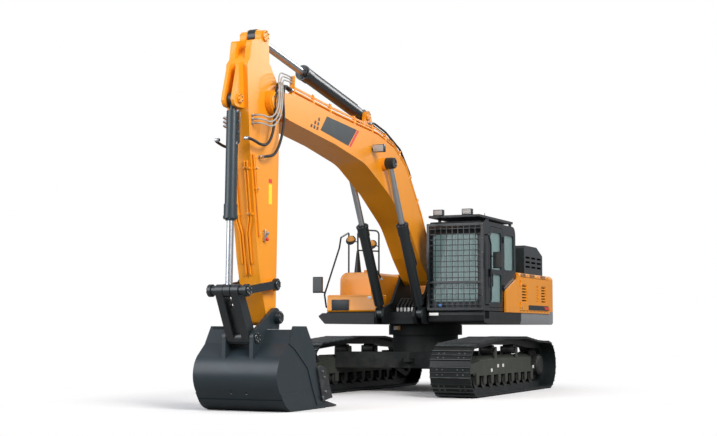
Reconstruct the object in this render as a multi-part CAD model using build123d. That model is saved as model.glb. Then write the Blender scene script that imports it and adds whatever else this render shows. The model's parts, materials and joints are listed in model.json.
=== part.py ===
"""Crawler excavator, millimetres.

+X points forward to the bucket, +Y to the machine's left (cab) side and +Z up.
The origin lies on the ground under the slew axis. The working gear stands as in
the parked pose: boom raised, arm upright, bucket flat on the ground.
"""
import os
from collections import namedtuple
from math import atan2, cos, hypot, pi, radians, sin, sqrt, tan

from build123d import *

os.makedirs("parts", exist_ok=True)

XZ = namedtuple("XZ", "x z")

# Fits
PIN_GAP = 0.5
SEAT_GAP = 0.3
MOVE_GAP = 8.0

# Tracks
TUMBLER_SPAN = 4360.0
GAUGE = 3000.0
SHOE_WIDTH = 750.0
SHOE_PITCH = 216.0
RAIL_HEIGHT = 110.0
RAIL_WIDTH = 220.0
SHOE_THICKNESS = 20.0
GROUSER_HEIGHT = 20.0
TUMBLER_RADIUS = 330.0
CARRIER_X = (620.0, -650.0)
CARRIER_RADIUS = 90.0
CARRIER_TOP = 915.0
CARRIER_DROP = 7.0
TRACK_SAG = 22.0

# Track frames
FRAME_WIDTH = 330.0
FRAME_BOTTOM = 400.0
FRAME_SHOULDER = 640.0
FRAME_TOP = 712.0
FRAME_FRONT = TUMBLER_SPAN / 2 - 620
FRAME_REAR = -FRAME_FRONT
ROLLER_COUNT = 9
ROLLER_FIRST = FRAME_FRONT + 80
ROLLER_LAST = -ROLLER_FIRST
ROLLER_RADIUS = 108.0
ROLLER_SHAFT = 38.0
SADDLE_THICKNESS = 30.0
YOKE_THICKNESS = 40.0
SPROCKET_TEETH = 21
SPROCKET_THICKNESS = 70.0
DRIVE_RADIUS = 215.0
DRIVE_OUTSIDE = 190.0

# Centre frame and slew ring
TUB_RADIUS = 640.0
TUB_BOTTOM = 520.0
TUB_TOP = 1090.0
LEG_HEIGHT = 300.0
LEG_BOTTOM = 470.0
TOW_EYE_X = 960.0
TOW_EYE_Z = 620.0
TOW_BORE = 50.0
RING_RADIUS = 720.0
RING_HEIGHT = 195.0

# Platform
DECK_BOTTOM = 1400.0
DECK_TOP = 1530.0
SKIRT_BOTTOM = 1300.0
UPPER_HALF_WIDTH = 1620.0
DECK_FRONT = 1120.0
TAIL_RADIUS = 3720.0
BODY_REAR = 680.0 - TAIL_RADIUS
HUB_RADIUS = 700.0
LIFT_EYE_X = BODY_REAR - 210
LIFT_EYE_Y = 900.0
LIFT_BORE = 40.0
BRACKET_INSIDE = 290.0
BRACKET_THICKNESS = 50.0

# Cab
KNUCKLE = 14.0
CAB_FRONT = 1150.0
CAB_REAR = -850.0
CAB_INSIDE_Y = 520.0
CAB_OUTSIDE_Y = UPPER_HALF_WIDTH - 30
CAB_FLOOR = 1545.0
CAB_ROOF = 3220.0
CAB_WALL = 60.0
DOOR_REAR_X = -40.0
DOOR_FRONT_X = 780.0
DOOR_HINGES = (1990.0, 2920.0)
GLASS = 12.0

# Housings behind the cab
HOOD_TOP = 2330.0
INTAKE_TOP = 2925.0
PANEL_FRONT = -87.0
HOUSING_FRONT = -900.0
HOUSING_INSIDE_Y = 900.0
HOUSING_WALL = 40.0
SIDE_DOOR_FRONT = -980.0
SIDE_DOOR_REAR = BODY_REAR + 80
SIDE_DOOR_HINGES = (1690.0, 2130.0)
# Louvre groups of a side door: middle as a share of its length, and width
LOUVRES = ((0.15, 350.0), (0.6, 130.0), (0.82, 350.0))
LID_HINGES = (-600.0, 0.0, 600.0)
HOOD_FRONT = -1560.0
TANK_FRONT = 560.0
TANK_TOP = 2320.0
TANK_OUTSIDE_Y = 20.0 - UPPER_HALF_WIDTH
TANK_INSIDE_Y = -930.0
STEP_OUTSIDE_Y = -UPPER_HALF_WIDTH - 130
BOX_FRONT = 1150.0
BOX_REAR = 630.0
BOX_TOP = 1860.0
BOX_HINGES = (-1350.0, -850.0)
BOX_INSIDE_Y = -560.0

# Boom
FOOT = XZ(330.0, 2200.0)
ARM_PIN = XZ(6780.0, 4620.0)
BOOM_WIDTH = 560.0
LIFT_EYE = XZ(2720.0, 4150.0)
# Pipes on the boom: radius, height over its top, their two places across, end plate and clamps as shares
PIPE_RADIUS = 19.0
PIPE_HEIGHT = 45.0
PIPE_Y = (212.0, 258.0)
END_PLATE = 0.945
CLAMPS = ((0, 0.1), (0, 0.5), (1, 0.12), (1, 0.55), (2, 0.5), (3, 0.5), (4, 0.25), (4, 0.75), (5, 0.6))
# Hoses: radius, bend, place on the end plate across and above, then points from the arm's pin (along, across, up)
HOSES = (
    (21.0, 80.0, 212.0, 45.0, ((820, 206, -665), (820, 305, -665), (370, 305, -745), (150, 305, -570),
                               (50, 305, -210), (90, 305, -20), (20, 305, 190), (-220, 212, 355))),
    (21.0, 80.0, 258.0, 45.0, ((340, 206, -880), (340, 305, -880), (40, 305, -820), (-160, 305, -520),
                               (-230, 305, -240), (-180, 305, 100), (-210, 305, 215), (-350, 258, 310))),
    (12.0, 60.0, 240.0, 250.0, ((550, 206, -285), (550, 342, -285), (250, 342, -300), (50, 342, -150),
                                (0, 342, 140), (30, 342, 325), (-90, 300, 460), (-350, 240, 488))),
)
VALVE_Y = (-190.0, -114.0, -38.0, 38.0, 114.0, 190.0)
VALVE_Z = 1700.0
LIFT_FOOT = XZ(1250.0, 1500.0)
LIFT_Y = 400.0
CROWD_FOOT = XZ(3050.0, 4980.0)

# Arm and bucket
CROWD_EYE = XZ(6950.0, 5600.0)
ARM_WIDTH = 360.0
BUCKET_PIN = XZ(6680.0, 1370.0)
ROCKER_PIN = XZ(6760.0, 1860.0)
LINK_TOP = XZ(7640.0, 1750.0)
LINK_LOW = XZ(7270.0, 1070.0)
CURL_FOOT = XZ(7580.0, 4550.0)
BUCKET_WIDTH = 1400.0
BUCKET_SHELL = 32.0
BUCKET_TOP = 1240.0
BUCKET_ROOF = 1190.0
SIDE_PLATE = 30.0
BUCKET_WEAR = 12.0
LIP_FRONT = 5900.0
LIP_TOP = 50.0
TOOTH_COUNT = 5
TOOTH_WIDTH = 120.0
TOOTH_LENGTH = 470.0
EAR_INSIDE = 200.0
EAR_THICKNESS = 60.0
ROCKER_INSIDE = 268.0
ROCKER_THICKNESS = 54.0

Ram = namedtuple("Ram", "foot eye y reach back barrel rod eye_width eye_radius")
# reach: barrel length from its foot pin; back: how far the rod can slide in
LIFT = Ram(LIFT_FOOT, LIFT_EYE, LIFT_Y, 1850.0, 935.0, 95.0, 55.0, 110.0, 105.0)
CROWD = Ram(CROWD_FOOT, CROWD_EYE, 0.0, 2360.0, 1150.0, 110.0, 62.0, 130.0, 115.0)
CURL = Ram(CURL_FOOT, LINK_TOP, 0.0, 1780.0, 576.0, 88.0, 52.0, 110.0, 95.0)


def outline(rows):
    """Closed face in X and Z from rows of (x, z, corner radius)."""
    count = len(rows)
    corners = []
    for i, (x, z, r) in enumerate(rows):
        here = Vector(x, z)
        to_last = (Vector(rows[i - 1][0], rows[i - 1][1]) - here).normalized()
        to_next = (Vector(rows[(i + 1) % count][0], rows[(i + 1) % count][1]) - here).normalized()
        if r == 0:
            corners.append((here, None, here))
            continue
        half = radians(to_last.get_angle(to_next)) / 2
        run = r / tan(half)
        middle = here + (to_last + to_next).normalized() * (r / sin(half) - r)
        corners.append((here + to_last * run, middle, here + to_next * run))
    edges = []
    for i, (start, middle, stop) in enumerate(corners):
        if middle is not None:
            edges.append(ThreePointArc(start, middle, stop))
        edges.append(Line(stop, corners[(i + 1) % count][0]))
    return make_face(edges)


def slab(rows, y_low, y_high):
    """Side profile in X and Z, between two Y planes."""
    side = Plane(origin=(0, y_high, 0), x_dir=(1, 0, 0), z_dir=(0, -1, 0))
    return extrude(side * outline(rows), amount=y_high - y_low)


def plan(rows, z_low, z_high):
    """Plan profile in X and Y, between two heights."""
    return extrude(Plane.XY.offset(z_low) * outline(rows), amount=z_high - z_low)


def front(rows, x_low, x_high):
    """Front profile in Y and Z, between two X planes."""
    return extrude(Plane.YZ.offset(x_low) * outline(rows), amount=x_high - x_low)


def block(x, y, z):
    """Box between pairs of limits."""
    return Pos(sum(x) / 2, sum(y) / 2, sum(z) / 2) * Box(x[1] - x[0], y[1] - y[0], z[1] - z[0])


def drum(at, radius, y_low, y_high):
    """Cylinder along Y between two planes."""
    side = Plane(origin=(at.x, y_high, at.z), x_dir=(1, 0, 0), z_dir=(0, -1, 0))
    return extrude(side * Circle(radius), amount=y_high - y_low)


def both(shape):
    """The shape and its mirror image across the machine's centre plane."""
    return shape + mirror(shape, about=Plane.XZ)


def save(shape, name):
    """One STEP file for each node."""
    if not isinstance(shape, Compound) and isinstance(shape, list):
        shape = Compound(shape)
    export_step(shape, f"parts/{name}.step")


def link_rows(a, b, radius_a, radius_b):
    """Outer tangent outline round two pin bosses."""
    length = hypot(b.x - a.x, b.z - a.z)
    along = atan2(b.z - a.z, b.x - a.x)
    tilt = atan2(sqrt(length**2 - (radius_a - radius_b) ** 2), radius_a - radius_b)

    def rim(centre, radius, angle):
        return Vector(centre.x + radius * cos(angle), centre.z + radius * sin(angle))

    a_up, a_low = rim(a, radius_a, along + tilt), rim(a, radius_a, along - tilt)
    b_up, b_low = rim(b, radius_b, along + tilt), rim(b, radius_b, along - tilt)
    return make_face([
        ThreePointArc(a_up, rim(a, radius_a, along + pi), a_low),
        Line(a_low, b_low),
        ThreePointArc(b_low, rim(b, radius_b, along), b_up),
        Line(b_up, a_up),
    ])


def link(a, b, radius_a, radius_b, y_low, y_high):
    """Flat link round two pins, between two Y planes."""
    side = Plane(origin=(0, y_high, 0), x_dir=(1, 0, 0), z_dir=(0, -1, 0))
    return extrude(side * link_rows(a, b, radius_a, radius_b), amount=y_high - y_low)


def laid(a, b, rows):
    """Profile rows in shares of the distance from a to b: along it, to its left, and corner radius."""
    dx, dz = b.x - a.x, b.z - a.z
    length = hypot(dx, dz)
    return [(a.x + u * dx - v * dz, a.z + u * dz + v * dx, r * length) for u, v, r in rows]


def on_line(a, b, share, rows):
    """Rows in millimetres moved to a point of the line from a to b: along it and above it."""
    length = hypot(b.x - a.x, b.z - a.z)
    ux, uz = (b.x - a.x) / length, (b.z - a.z) / length
    x, z = a.x + share * (b.x - a.x), a.z + share * (b.z - a.z)
    return [(x + along * ux - above * uz, z + along * uz + above * ux, r) for along, above, r in rows]


# Tracks: the shoes follow a belt line round idler, carrier rollers and sprocket

TUMBLER_Z = TUMBLER_RADIUS + RAIL_HEIGHT + SHOE_THICKNESS + GROUSER_HEIGHT
IDLER = XZ(TUMBLER_SPAN / 2, TUMBLER_Z)
SPROCKET = XZ(-TUMBLER_SPAN / 2, TUMBLER_Z)


def belt_pieces():
    """Runs (start, end) and arcs (centre, start angle, sweep) of the rail line, from the front ground point."""
    low = TUMBLER_Z - TUMBLER_RADIUS
    top = [XZ(CARRIER_X[0], CARRIER_TOP), XZ(sum(CARRIER_X) / 2, CARRIER_TOP - TRACK_SAG / 2),
           XZ(CARRIER_X[1], CARRIER_TOP)]
    sag_x = (CARRIER_X[1] + SPROCKET.x) / 2

    def lift(centre, point, turn):
        reach = hypot(point.x - centre.x, point.z - centre.z)
        aim = atan2(point.z - centre.z, point.x - centre.x)
        return aim + turn * (pi / 2 - atan2(TUMBLER_RADIUS, sqrt(reach**2 - TUMBLER_RADIUS**2)))

    def rim(centre, angle):
        return XZ(centre.x + TUMBLER_RADIUS * cos(angle), centre.z + TUMBLER_RADIUS * sin(angle))

    sag = XZ(sag_x, (CARRIER_TOP + TUMBLER_Z + TUMBLER_RADIUS) / 2 - TRACK_SAG)
    front_stop = lift(IDLER, top[0], -1)
    rear_start = lift(SPROCKET, sag, 1)
    pieces = [("run", XZ(SPROCKET.x, low), XZ(IDLER.x, low)), ("arc", IDLER, -pi / 2, front_stop + pi / 2)]
    chain = [rim(IDLER, front_stop)] + top + [sag, rim(SPROCKET, rear_start)]
    pieces += [("run", a, b) for a, b in zip(chain, chain[1:])]
    pieces.append(("arc", SPROCKET, rear_start, 1.5 * pi - rear_start))
    return pieces


def piece_length(piece):
    if piece[0] == "run":
        return hypot(piece[2].x - piece[1].x, piece[2].z - piece[1].z)
    return TUMBLER_RADIUS * piece[3]


def belt_point(pieces, distance):
    """Point and outward normal angle of the rail line at a distance along it."""
    for piece in pieces:
        length = piece_length(piece)
        if distance <= length:
            break
        distance -= length
    if piece[0] == "run":
        share = distance / length
        x = piece[1].x + share * (piece[2].x - piece[1].x)
        z = piece[1].z + share * (piece[2].z - piece[1].z)
        return x, z, atan2(piece[2].z - piece[1].z, piece[2].x - piece[1].x) - pi / 2
    angle = piece[2] + distance / TUMBLER_RADIUS
    return piece[1].x + TUMBLER_RADIUS * cos(angle), piece[1].z + TUMBLER_RADIUS * sin(angle), angle


def belt_loop(side_rows):
    """Closed loop of the local points (share of the pitch, height) repeated for each shoe."""
    pieces = belt_pieces()
    total = sum(piece_length(piece) for piece in pieces)
    count = round(total / SHOE_PITCH)
    pitch = total / count
    points = []
    for i in range(count):
        x, z, normal = belt_point(pieces, (i + 0.5) * pitch)
        out = (cos(normal), sin(normal))
        ahead = (-out[1], out[0])
        for share, height in side_rows:
            points.append((x + ahead[0] * share * pitch + out[0] * height,
                           z + ahead[1] * share * pitch + out[1] * height))
    return points


def ring_between(outer, inner, half_width, y_centre):
    """Band between two closed loops of points, centred on a Y plane."""
    side = Plane(origin=(0, y_centre + half_width, 0), x_dir=(1, 0, 0), z_dir=(0, -1, 0))
    face = make_face(Polyline(*outer, close=True)) - make_face(Polyline(*inner, close=True))
    return extrude(side * face, amount=2 * half_width)


def track(y_centre):
    plate = RAIL_HEIGHT + SHOE_THICKNESS
    tip = plate + GROUSER_HEIGHT
    shoe_rows = [(-0.46, plate - 8), (-0.45, tip), (-0.39, tip), (-0.35, plate), (-0.05, plate), (0.0, tip),
                 (0.05, plate), (0.35, plate), (0.39, tip), (0.45, tip), (0.46, plate - 8)]
    under_rows = [(-0.3, RAIL_HEIGHT), (0.3, RAIL_HEIGHT)]
    rail_top_rows = [(-0.3, RAIL_HEIGHT + 6), (0.3, RAIL_HEIGHT + 6)]
    rail_rows = [(-0.25, 0), (0.25, 0)]
    shoes = ring_between(belt_loop(shoe_rows), belt_loop(under_rows), SHOE_WIDTH / 2, y_centre)
    rails = ring_between(belt_loop(rail_top_rows), belt_loop(rail_rows), RAIL_WIDTH / 2, y_centre)
    return shoes + rails


def wheel(at, rows, y_centre):
    """Turned part about a Y axis from rows of (offset along Y, radius)."""
    points = [(0 + rows[0][0], 0)] + [(y, r) for y, r in rows] + [(rows[-1][0], 0)]
    face = make_face(Polyline(*points, close=True))
    turned = revolve(Plane.XY * face, axis=Axis.X)
    return Pos(at.x, y_centre, at.z) * (Rot(0, 0, 90) * turned)


def roller(at, y_centre):
    tread, flange = ROLLER_RADIUS, ROLLER_RADIUS + 20
    half, outside = RAIL_WIDTH / 2 + 4, RAIL_WIDTH / 2 + 18
    end = FRAME_WIDTH / 2 - SADDLE_THICKNESS - SEAT_GAP
    rows = [(-end, ROLLER_SHAFT), (-outside, ROLLER_SHAFT), (-outside, flange), (-half, flange),
            (-half, tread),
            (half, tread), (half, flange), (outside, flange), (outside, ROLLER_SHAFT), (end, ROLLER_SHAFT)]
    return wheel(at, rows, y_centre)


def carrier(at, y_centre):
    end = FRAME_WIDTH / 2 - SADDLE_THICKNESS - SEAT_GAP
    body = RAIL_WIDTH / 2
    rows = [(-end, ROLLER_SHAFT), (-body, ROLLER_SHAFT), (-body, CARRIER_RADIUS), (body, CARRIER_RADIUS),
            (body, ROLLER_SHAFT), (end, ROLLER_SHAFT)]
    return wheel(at, rows, y_centre)


def idler(y_centre):
    rim, web = TUMBLER_RADIUS - 6, TUMBLER_RADIUS - 70
    half, thin = RAIL_WIDTH / 2 - 10, 40.0
    hub, end = 120.0, FRAME_WIDTH / 2 - YOKE_THICKNESS - SEAT_GAP
    rows = [(-end, 70), (-hub, 70), (-hub, 110), (-thin, 130), (-thin, web), (-half, web + 20), (-half, rim),
            (half, rim), (half, web + 20), (thin, web), (thin, 130), (hub, 110), (hub, 70), (end, 70)]
    return wheel(IDLER, rows, y_centre)


def sprocket(y_centre, outward):
    """Toothed ring with the final drive drum on its outer side and the motor on its inner side."""
    tip, root = TUMBLER_RADIUS - 7, TUMBLER_RADIUS - 52
    step = 2 * pi / SPROCKET_TEETH
    points = []
    for i in range(SPROCKET_TEETH):
        for share, radius in ((-0.34, root), (-0.12, tip), (0.12, tip), (0.34, root)):
            angle = (i + share) * step
            points.append((SPROCKET.x + radius * cos(angle), SPROCKET.z + radius * sin(angle)))
    side = Plane(origin=(0, y_centre + SPROCKET_THICKNESS / 2, 0), x_dir=(1, 0, 0), z_dir=(0, -1, 0))
    ring = extrude(side * make_face(Polyline(*points, close=True)), amount=SPROCKET_THICKNESS)
    half = SPROCKET_THICKNESS / 2
    rows = [(-260, 150), (-FRAME_WIDTH / 2 - 30, DRIVE_RADIUS - 30), (-half + 5, DRIVE_RADIUS - 30),
            (half - 5, DRIVE_RADIUS), (150, DRIVE_RADIUS), (DRIVE_OUTSIDE, DRIVE_RADIUS - 50)]
    if outward < 0:
        rows = [(-y, r) for y, r in reversed(rows)]
    return ring + wheel(SPROCKET, rows, y_centre)


def track_frame(y_centre, outward):
    """Box frame over the rollers, with saddles, yoke arms, carrier posts and the drive plate."""
    half = FRAME_WIDTH / 2
    shoulder = [(y_centre - half, FRAME_BOTTOM, 0), (y_centre + half, FRAME_BOTTOM, 0),
                (y_centre + half, FRAME_SHOULDER, 0), (y_centre + half - 100, FRAME_TOP, 0),
                (y_centre - half + 100, FRAME_TOP, 0), (y_centre - half, FRAME_SHOULDER, 0)]
    frame = front(shoulder, FRAME_REAR, FRAME_FRONT)
    low = TUMBLER_Z - TUMBLER_RADIUS
    axle_z = low + ROLLER_RADIUS + SEAT_GAP
    step = (ROLLER_LAST - ROLLER_FIRST) / (ROLLER_COUNT - 1)
    for sign in (-1, 1):
        inner = y_centre + sign * (half - SADDLE_THICKNESS)
        outer = y_centre + sign * half
        pair = (min(inner, outer), max(inner, outer))
        rows = [(ROLLER_FIRST + 90, FRAME_BOTTOM, 0)]
        for i in range(ROLLER_COUNT):
            x = ROLLER_FIRST + i * step
            rows += [(x + 75, FRAME_BOTTOM - 40, 0), (x + 60, axle_z - 50, 0), (x - 60, axle_z - 50, 0),
                     (x - 75, FRAME_BOTTOM - 40, 0)]
        rows += [(ROLLER_LAST - 90, FRAME_BOTTOM, 0), (ROLLER_LAST - 90, FRAME_BOTTOM + 60, 0),
                 (ROLLER_FIRST + 90, FRAME_BOTTOM + 60, 0)]
        frame += slab(rows, *pair)
        yoke_in = y_centre + sign * (half - YOKE_THICKNESS)
        yoke = (min(yoke_in, outer), max(yoke_in, outer))
        frame += slab([(FRAME_FRONT - 60, 420, 0), (IDLER.x + 110, 400, 40), (IDLER.x + 130, 560, 60),
                       (FRAME_FRONT - 60, 620, 0)], *yoke)
        for x in CARRIER_X:
            frame += slab([(x - 60, FRAME_SHOULDER, 0), (x + 60, FRAME_SHOULDER, 0),
                           (x + 50, CARRIER_TOP - CARRIER_RADIUS + 50, 30), (x - 50,
                                                                             CARRIER_TOP - CARRIER_RADIUS + 50, 30)],
                          *pair)
    plate_out = y_centre - outward * (half + 30)
    plate_in = y_centre - outward * (half - 30)
    plate = (min(plate_out, plate_in), max(plate_out, plate_in))
    carrier_plate = slab([(FRAME_REAR + 200, FRAME_BOTTOM + 20, 0), (FRAME_REAR + 200, FRAME_TOP - 40, 0),
                          (SPROCKET.x + 60, SPROCKET.z + 290, 60), (SPROCKET.x - 230, SPROCKET.z + 200, 120),
                          (SPROCKET.x - 230, SPROCKET.z - 200, 120), (SPROCKET.x + 60, SPROCKET.z - 280, 60)],
                         *plate)
    return frame + (carrier_plate - drum(SPROCKET, DRIVE_RADIUS - 30 + SEAT_GAP, *plate))


def centre_frame():
    """Round tub on four legs that spread to the track frames."""
    inner = GAUGE / 2 - FRAME_WIDTH / 2 - SEAT_GAP
    tub = Pos(0, 0, TUB_BOTTOM) * Cylinder(TUB_RADIUS, TUB_TOP - TUB_BOTTOM,
                                            align=(Align.CENTER, Align.CENTER, Align.MIN))
    quarter = [(0, 0, 0), (560, 200, 0), (FRAME_FRONT - 660, inner, 0), (FRAME_FRONT - 240, inner, 0),
               (760, -200, 0)]
    legs = None
    for sx in (1, -1):
        rows = [(sx * x, y, r) for x, y, r in quarter]
        leg = plan(rows, LEG_BOTTOM, LEG_BOTTOM + LEG_HEIGHT)
        legs = leg if legs is None else legs + leg
    for at in (XZ(TOW_EYE_X, TOW_EYE_Z), XZ(-TOW_EYE_X, TOW_EYE_Z)):
        flat = Plane.XY.offset(at.z - 35) * link_rows(XZ(at.x, 0), XZ(at.x * 0.6, 0), 90, 110)
        tub += extrude(flat, amount=70) - upright(at.x, 0, TOW_BORE, at.z - 40, at.z + 40)
    return tub + both(legs) + block((-500, 500), (-450, 450), (LEG_BOTTOM - 30, TUB_BOTTOM + 10))


def build_undercarriage():
    low = TUMBLER_Z - TUMBLER_RADIUS
    axle_z = low + ROLLER_RADIUS + SEAT_GAP
    step = (ROLLER_LAST - ROLLER_FIRST) / (ROLLER_COUNT - 1)
    save(centre_frame(), "center_frame")
    ring = Cylinder(RING_RADIUS, RING_HEIGHT - SEAT_GAP, align=(Align.CENTER, Align.CENTER, Align.MIN))
    bore = Cylinder(RING_RADIUS - 180, RING_HEIGHT, align=(Align.CENTER, Align.CENTER, Align.MIN))
    save(Pos(0, 0, TUB_TOP) * (ring - bore), "slew_ring")
    for name, outward in (("left", 1), ("right", -1)):
        y = outward * GAUGE / 2
        save(track_frame(y, outward), f"track_frame_{name}")
        save(track(y), f"track_{name}")
        save(idler(y), f"idler_{name}")
        save(sprocket(y, outward), f"sprocket_{name}")
        rollers = [roller(XZ(ROLLER_FIRST + i * step, axle_z), y) for i in range(ROLLER_COUNT)]
        carriers = [carrier(XZ(x, CARRIER_TOP - CARRIER_RADIUS - CARRIER_DROP), y) for x in CARRIER_X]
        save(rollers + carriers, f"track_rollers_{name}")


# Upper structure


def platform():
    """Deck, hub and the two boom brackets."""
    hub_top = TUB_TOP + RING_HEIGHT
    hub = Pos(0, 0, hub_top) * Cylinder(HUB_RADIUS, DECK_BOTTOM - hub_top,
                                        align=(Align.CENTER, Align.CENTER, Align.MIN))
    edge = UPPER_HALF_WIDTH - 60
    deck = block((BODY_REAR, DECK_FRONT), (-edge, edge), (DECK_BOTTOM, DECK_TOP))
    rows = [(-885, DECK_BOTTOM + 10, 0), (900, DECK_BOTTOM + 10, 0), (940, SKIRT_BOTTOM, 0),
            (1330, SKIRT_BOTTOM, 60), (1420, 1440, 60), (1360, 1610, 60), (980, 1700, 0), (520, FOOT.z + 40,
                                                                                           0),
            (FOOT.x + 40, FOOT.z + 170, 80), (FOOT.x - 150, FOOT.z + 120, 80), (-500, 1750, 200), (-885,
                                                                                                   1640, 0)]
    inner, outer = BRACKET_INSIDE, BRACKET_INSIDE + BRACKET_THICKNESS
    bracket = slab(rows, inner, outer) + drum(FOOT, 130, inner, outer + 30)
    lug_low = LIFT_Y + LIFT.eye_width / 2 + PIN_GAP
    lug = slab([(940, SKIRT_BOTTOM, 0), (1330, SKIRT_BOTTOM, 60), (1380, 1440, 60), (1340, 1600, 60),
                (1120, 1620, 60),
                (940, DECK_BOTTOM + 60, 0)], lug_low, lug_low + 35)
    tie = block((945, 1115), (inner, lug_low + 35), (SKIRT_BOTTOM, DECK_BOTTOM - 10))
    whole = hub + deck + both(bracket + lug + tie)
    return whole + block((945, 1115), (-BRACKET_INSIDE - 10, BRACKET_INSIDE + 10),
                         (SKIRT_BOTTOM, DECK_BOTTOM))


def skirts():
    """Pressed side sills under the deck edge, and the wide step at the right front corner."""
    inside, outside = UPPER_HALF_WIDTH - 60, UPPER_HALF_WIDTH
    rows = [(inside, SKIRT_BOTTOM + 20, 0), (outside - 25, SKIRT_BOTTOM, 0), (outside, SKIRT_BOTTOM + 90, 0),
            (outside, DECK_TOP, 0), (inside, DECK_TOP, 0)]
    left = front(rows, BODY_REAR, 870)
    nose = slab([(860, SKIRT_BOTTOM, 0), (1160, SKIRT_BOTTOM + 30, 60), (1190, DECK_TOP - 60, 30),
                 (1170, DECK_TOP, 0),
                 (DECK_FRONT + SEAT_GAP, DECK_TOP, 0), (DECK_FRONT + SEAT_GAP, DECK_BOTTOM - SEAT_GAP, 0),
                 (860, DECK_BOTTOM - SEAT_GAP, 0)], CAB_INSIDE_Y, outside)
    step = front([(outside - 10, SKIRT_BOTTOM, 60), (-BOX_INSIDE_Y, SKIRT_BOTTOM, 0),
                  (-BOX_INSIDE_Y, DECK_TOP - 20, 0),
                  (-STEP_OUTSIDE_Y - 90, DECK_TOP - 20, 30), (-STEP_OUTSIDE_Y, DECK_TOP - 80,
                                                              20)], DECK_FRONT + SEAT_GAP, 1230)
    bar = front([(outside + SEAT_GAP, SKIRT_BOTTOM + 60, 0), (outside + SEAT_GAP, DECK_TOP - 20, 0),
                 (-STEP_OUTSIDE_Y - 90, DECK_TOP - 20, 30), (-STEP_OUTSIDE_Y, DECK_TOP - 80,
                                                             20)], 560, DECK_FRONT + 5)
    right = mirror(front(rows, BODY_REAR, DECK_FRONT - 5), about=Plane.XZ)
    return [left + nose, right + mirror(step + bar, about=Plane.XZ)]


def counterweight():
    """Cast tail block with a round back, rounded top edge and raised rear foot."""
    z_low, z_high = SKIRT_BOTTOM, HOOD_TOP + 5
    disc = Pos(0, 0, z_low) * Cylinder(TAIL_RADIUS, z_high - z_low,
                                       align=(Align.CENTER, Align.CENTER, Align.MIN))
    side = plan([(BODY_REAR - SEAT_GAP, -UPPER_HALF_WIDTH, 0), (BODY_REAR - SEAT_GAP, UPPER_HALF_WIDTH, 0),
                 (-TAIL_RADIUS - 50, UPPER_HALF_WIDTH, 0), (-TAIL_RADIUS - 50, -UPPER_HALF_WIDTH,
                                                            0)], z_low, z_high)
    body = disc & side
    rim = body.edges().filter_by_position(Axis.Z, z_high - 1, z_high + 1)
    rim = rim.filter_by(lambda edge: edge.center().X < BODY_REAR - 10)
    body = fillet(rim, 90)
    wedge = slab([(-TAIL_RADIUS - 60, z_low - 5, 0), (BODY_REAR - 200, z_low - 5, 0),
                  (-TAIL_RADIUS + 250, z_low + 70, 200),
                  (-TAIL_RADIUS - 60, z_low + 250, 0)], -2000, 2000)
    body -= wedge
    at = XZ(LIFT_EYE_X, z_high + 60)
    eye = link(at, XZ(LIFT_EYE_X, z_high - 60), 75, 90, LIFT_EYE_Y - 30, LIFT_EYE_Y + 30)
    eye -= drum(at, LIFT_BORE, LIFT_EYE_Y - 35, LIFT_EYE_Y + 35)
    return body + both(eye)


def cab_profile(grow=0.0):
    """Side outline of the cab, widened by a wall."""
    return [(CAB_REAR - grow, CAB_FLOOR - grow, 40), (CAB_FRONT + grow, CAB_FLOOR - grow, 40),
            (CAB_FRONT + grow, CAB_ROOF - 260, 120), (CAB_FRONT - 90 + grow, CAB_ROOF + grow, 100),
            (CAB_REAR - grow, CAB_ROOF + grow, 170)]


DOOR_ROWS = [(DOOR_REAR_X, CAB_FLOOR + 70, 60), (DOOR_FRONT_X, CAB_FLOOR + 70, 60),
             (DOOR_FRONT_X, CAB_ROOF - 230, 130), (DOOR_FRONT_X - 120, CAB_ROOF - 90, 80),
             (DOOR_REAR_X, CAB_ROOF - 90, 60)]
DOOR_UPPER = [(DOOR_REAR_X + 90, 2330, 50), (DOOR_FRONT_X - 80, 2330, 50),
              (DOOR_FRONT_X - 80, CAB_ROOF - 300, 70),
              (DOOR_FRONT_X - 170, CAB_ROOF - 180, 50), (DOOR_REAR_X + 90, CAB_ROOF - 180, 50)]
DOOR_LOWER = [(DOOR_REAR_X + 90, CAB_FLOOR + 170, 50), (DOOR_FRONT_X - 80, CAB_FLOOR + 170, 50),
              (DOOR_FRONT_X - 80, 2240, 50), (DOOR_REAR_X + 90, 2240, 50)]
REAR_QUARTER = [(CAB_REAR + 120, 2350, 60), (DOOR_REAR_X - 110, 2350, 60),
                (DOOR_REAR_X - 110, CAB_ROOF - 190, 60),
                (CAB_REAR + 120, CAB_ROOF - 190, 60)]
FRONT_OPEN = [(CAB_INSIDE_Y + 90, CAB_FLOOR + 170, 60), (CAB_OUTSIDE_Y - 90, CAB_FLOOR + 170, 60),
              (CAB_OUTSIDE_Y - 90, CAB_ROOF - 240, 60), (CAB_INSIDE_Y + 90, CAB_ROOF - 240, 60)]
REAR_OPEN = [(CAB_INSIDE_Y + 130, 2450, 60), (CAB_OUTSIDE_Y - 130, 2450, 60),
             (CAB_OUTSIDE_Y - 130, CAB_ROOF - 190, 60),
             (CAB_INSIDE_Y + 130, CAB_ROOF - 190, 60)]
INNER_SIDE = [(CAB_REAR + 140, 2250, 60), (CAB_FRONT - 160, 2250, 60), (CAB_FRONT - 160, CAB_ROOF - 330, 60),
              (CAB_REAR + 140, CAB_ROOF - 190, 60)]


def grown(rows, by):
    """The same rows spread from their middle, so that a hole is wider than what sits in it."""
    xs, zs = [r[0] for r in rows], [r[1] for r in rows]
    mx, mz = (min(xs) + max(xs)) / 2, (min(zs) + max(zs)) / 2
    return [(x + (by if x > mx else -by), z + (by if z > mz else -by), r) for x, z, r in rows]


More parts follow.
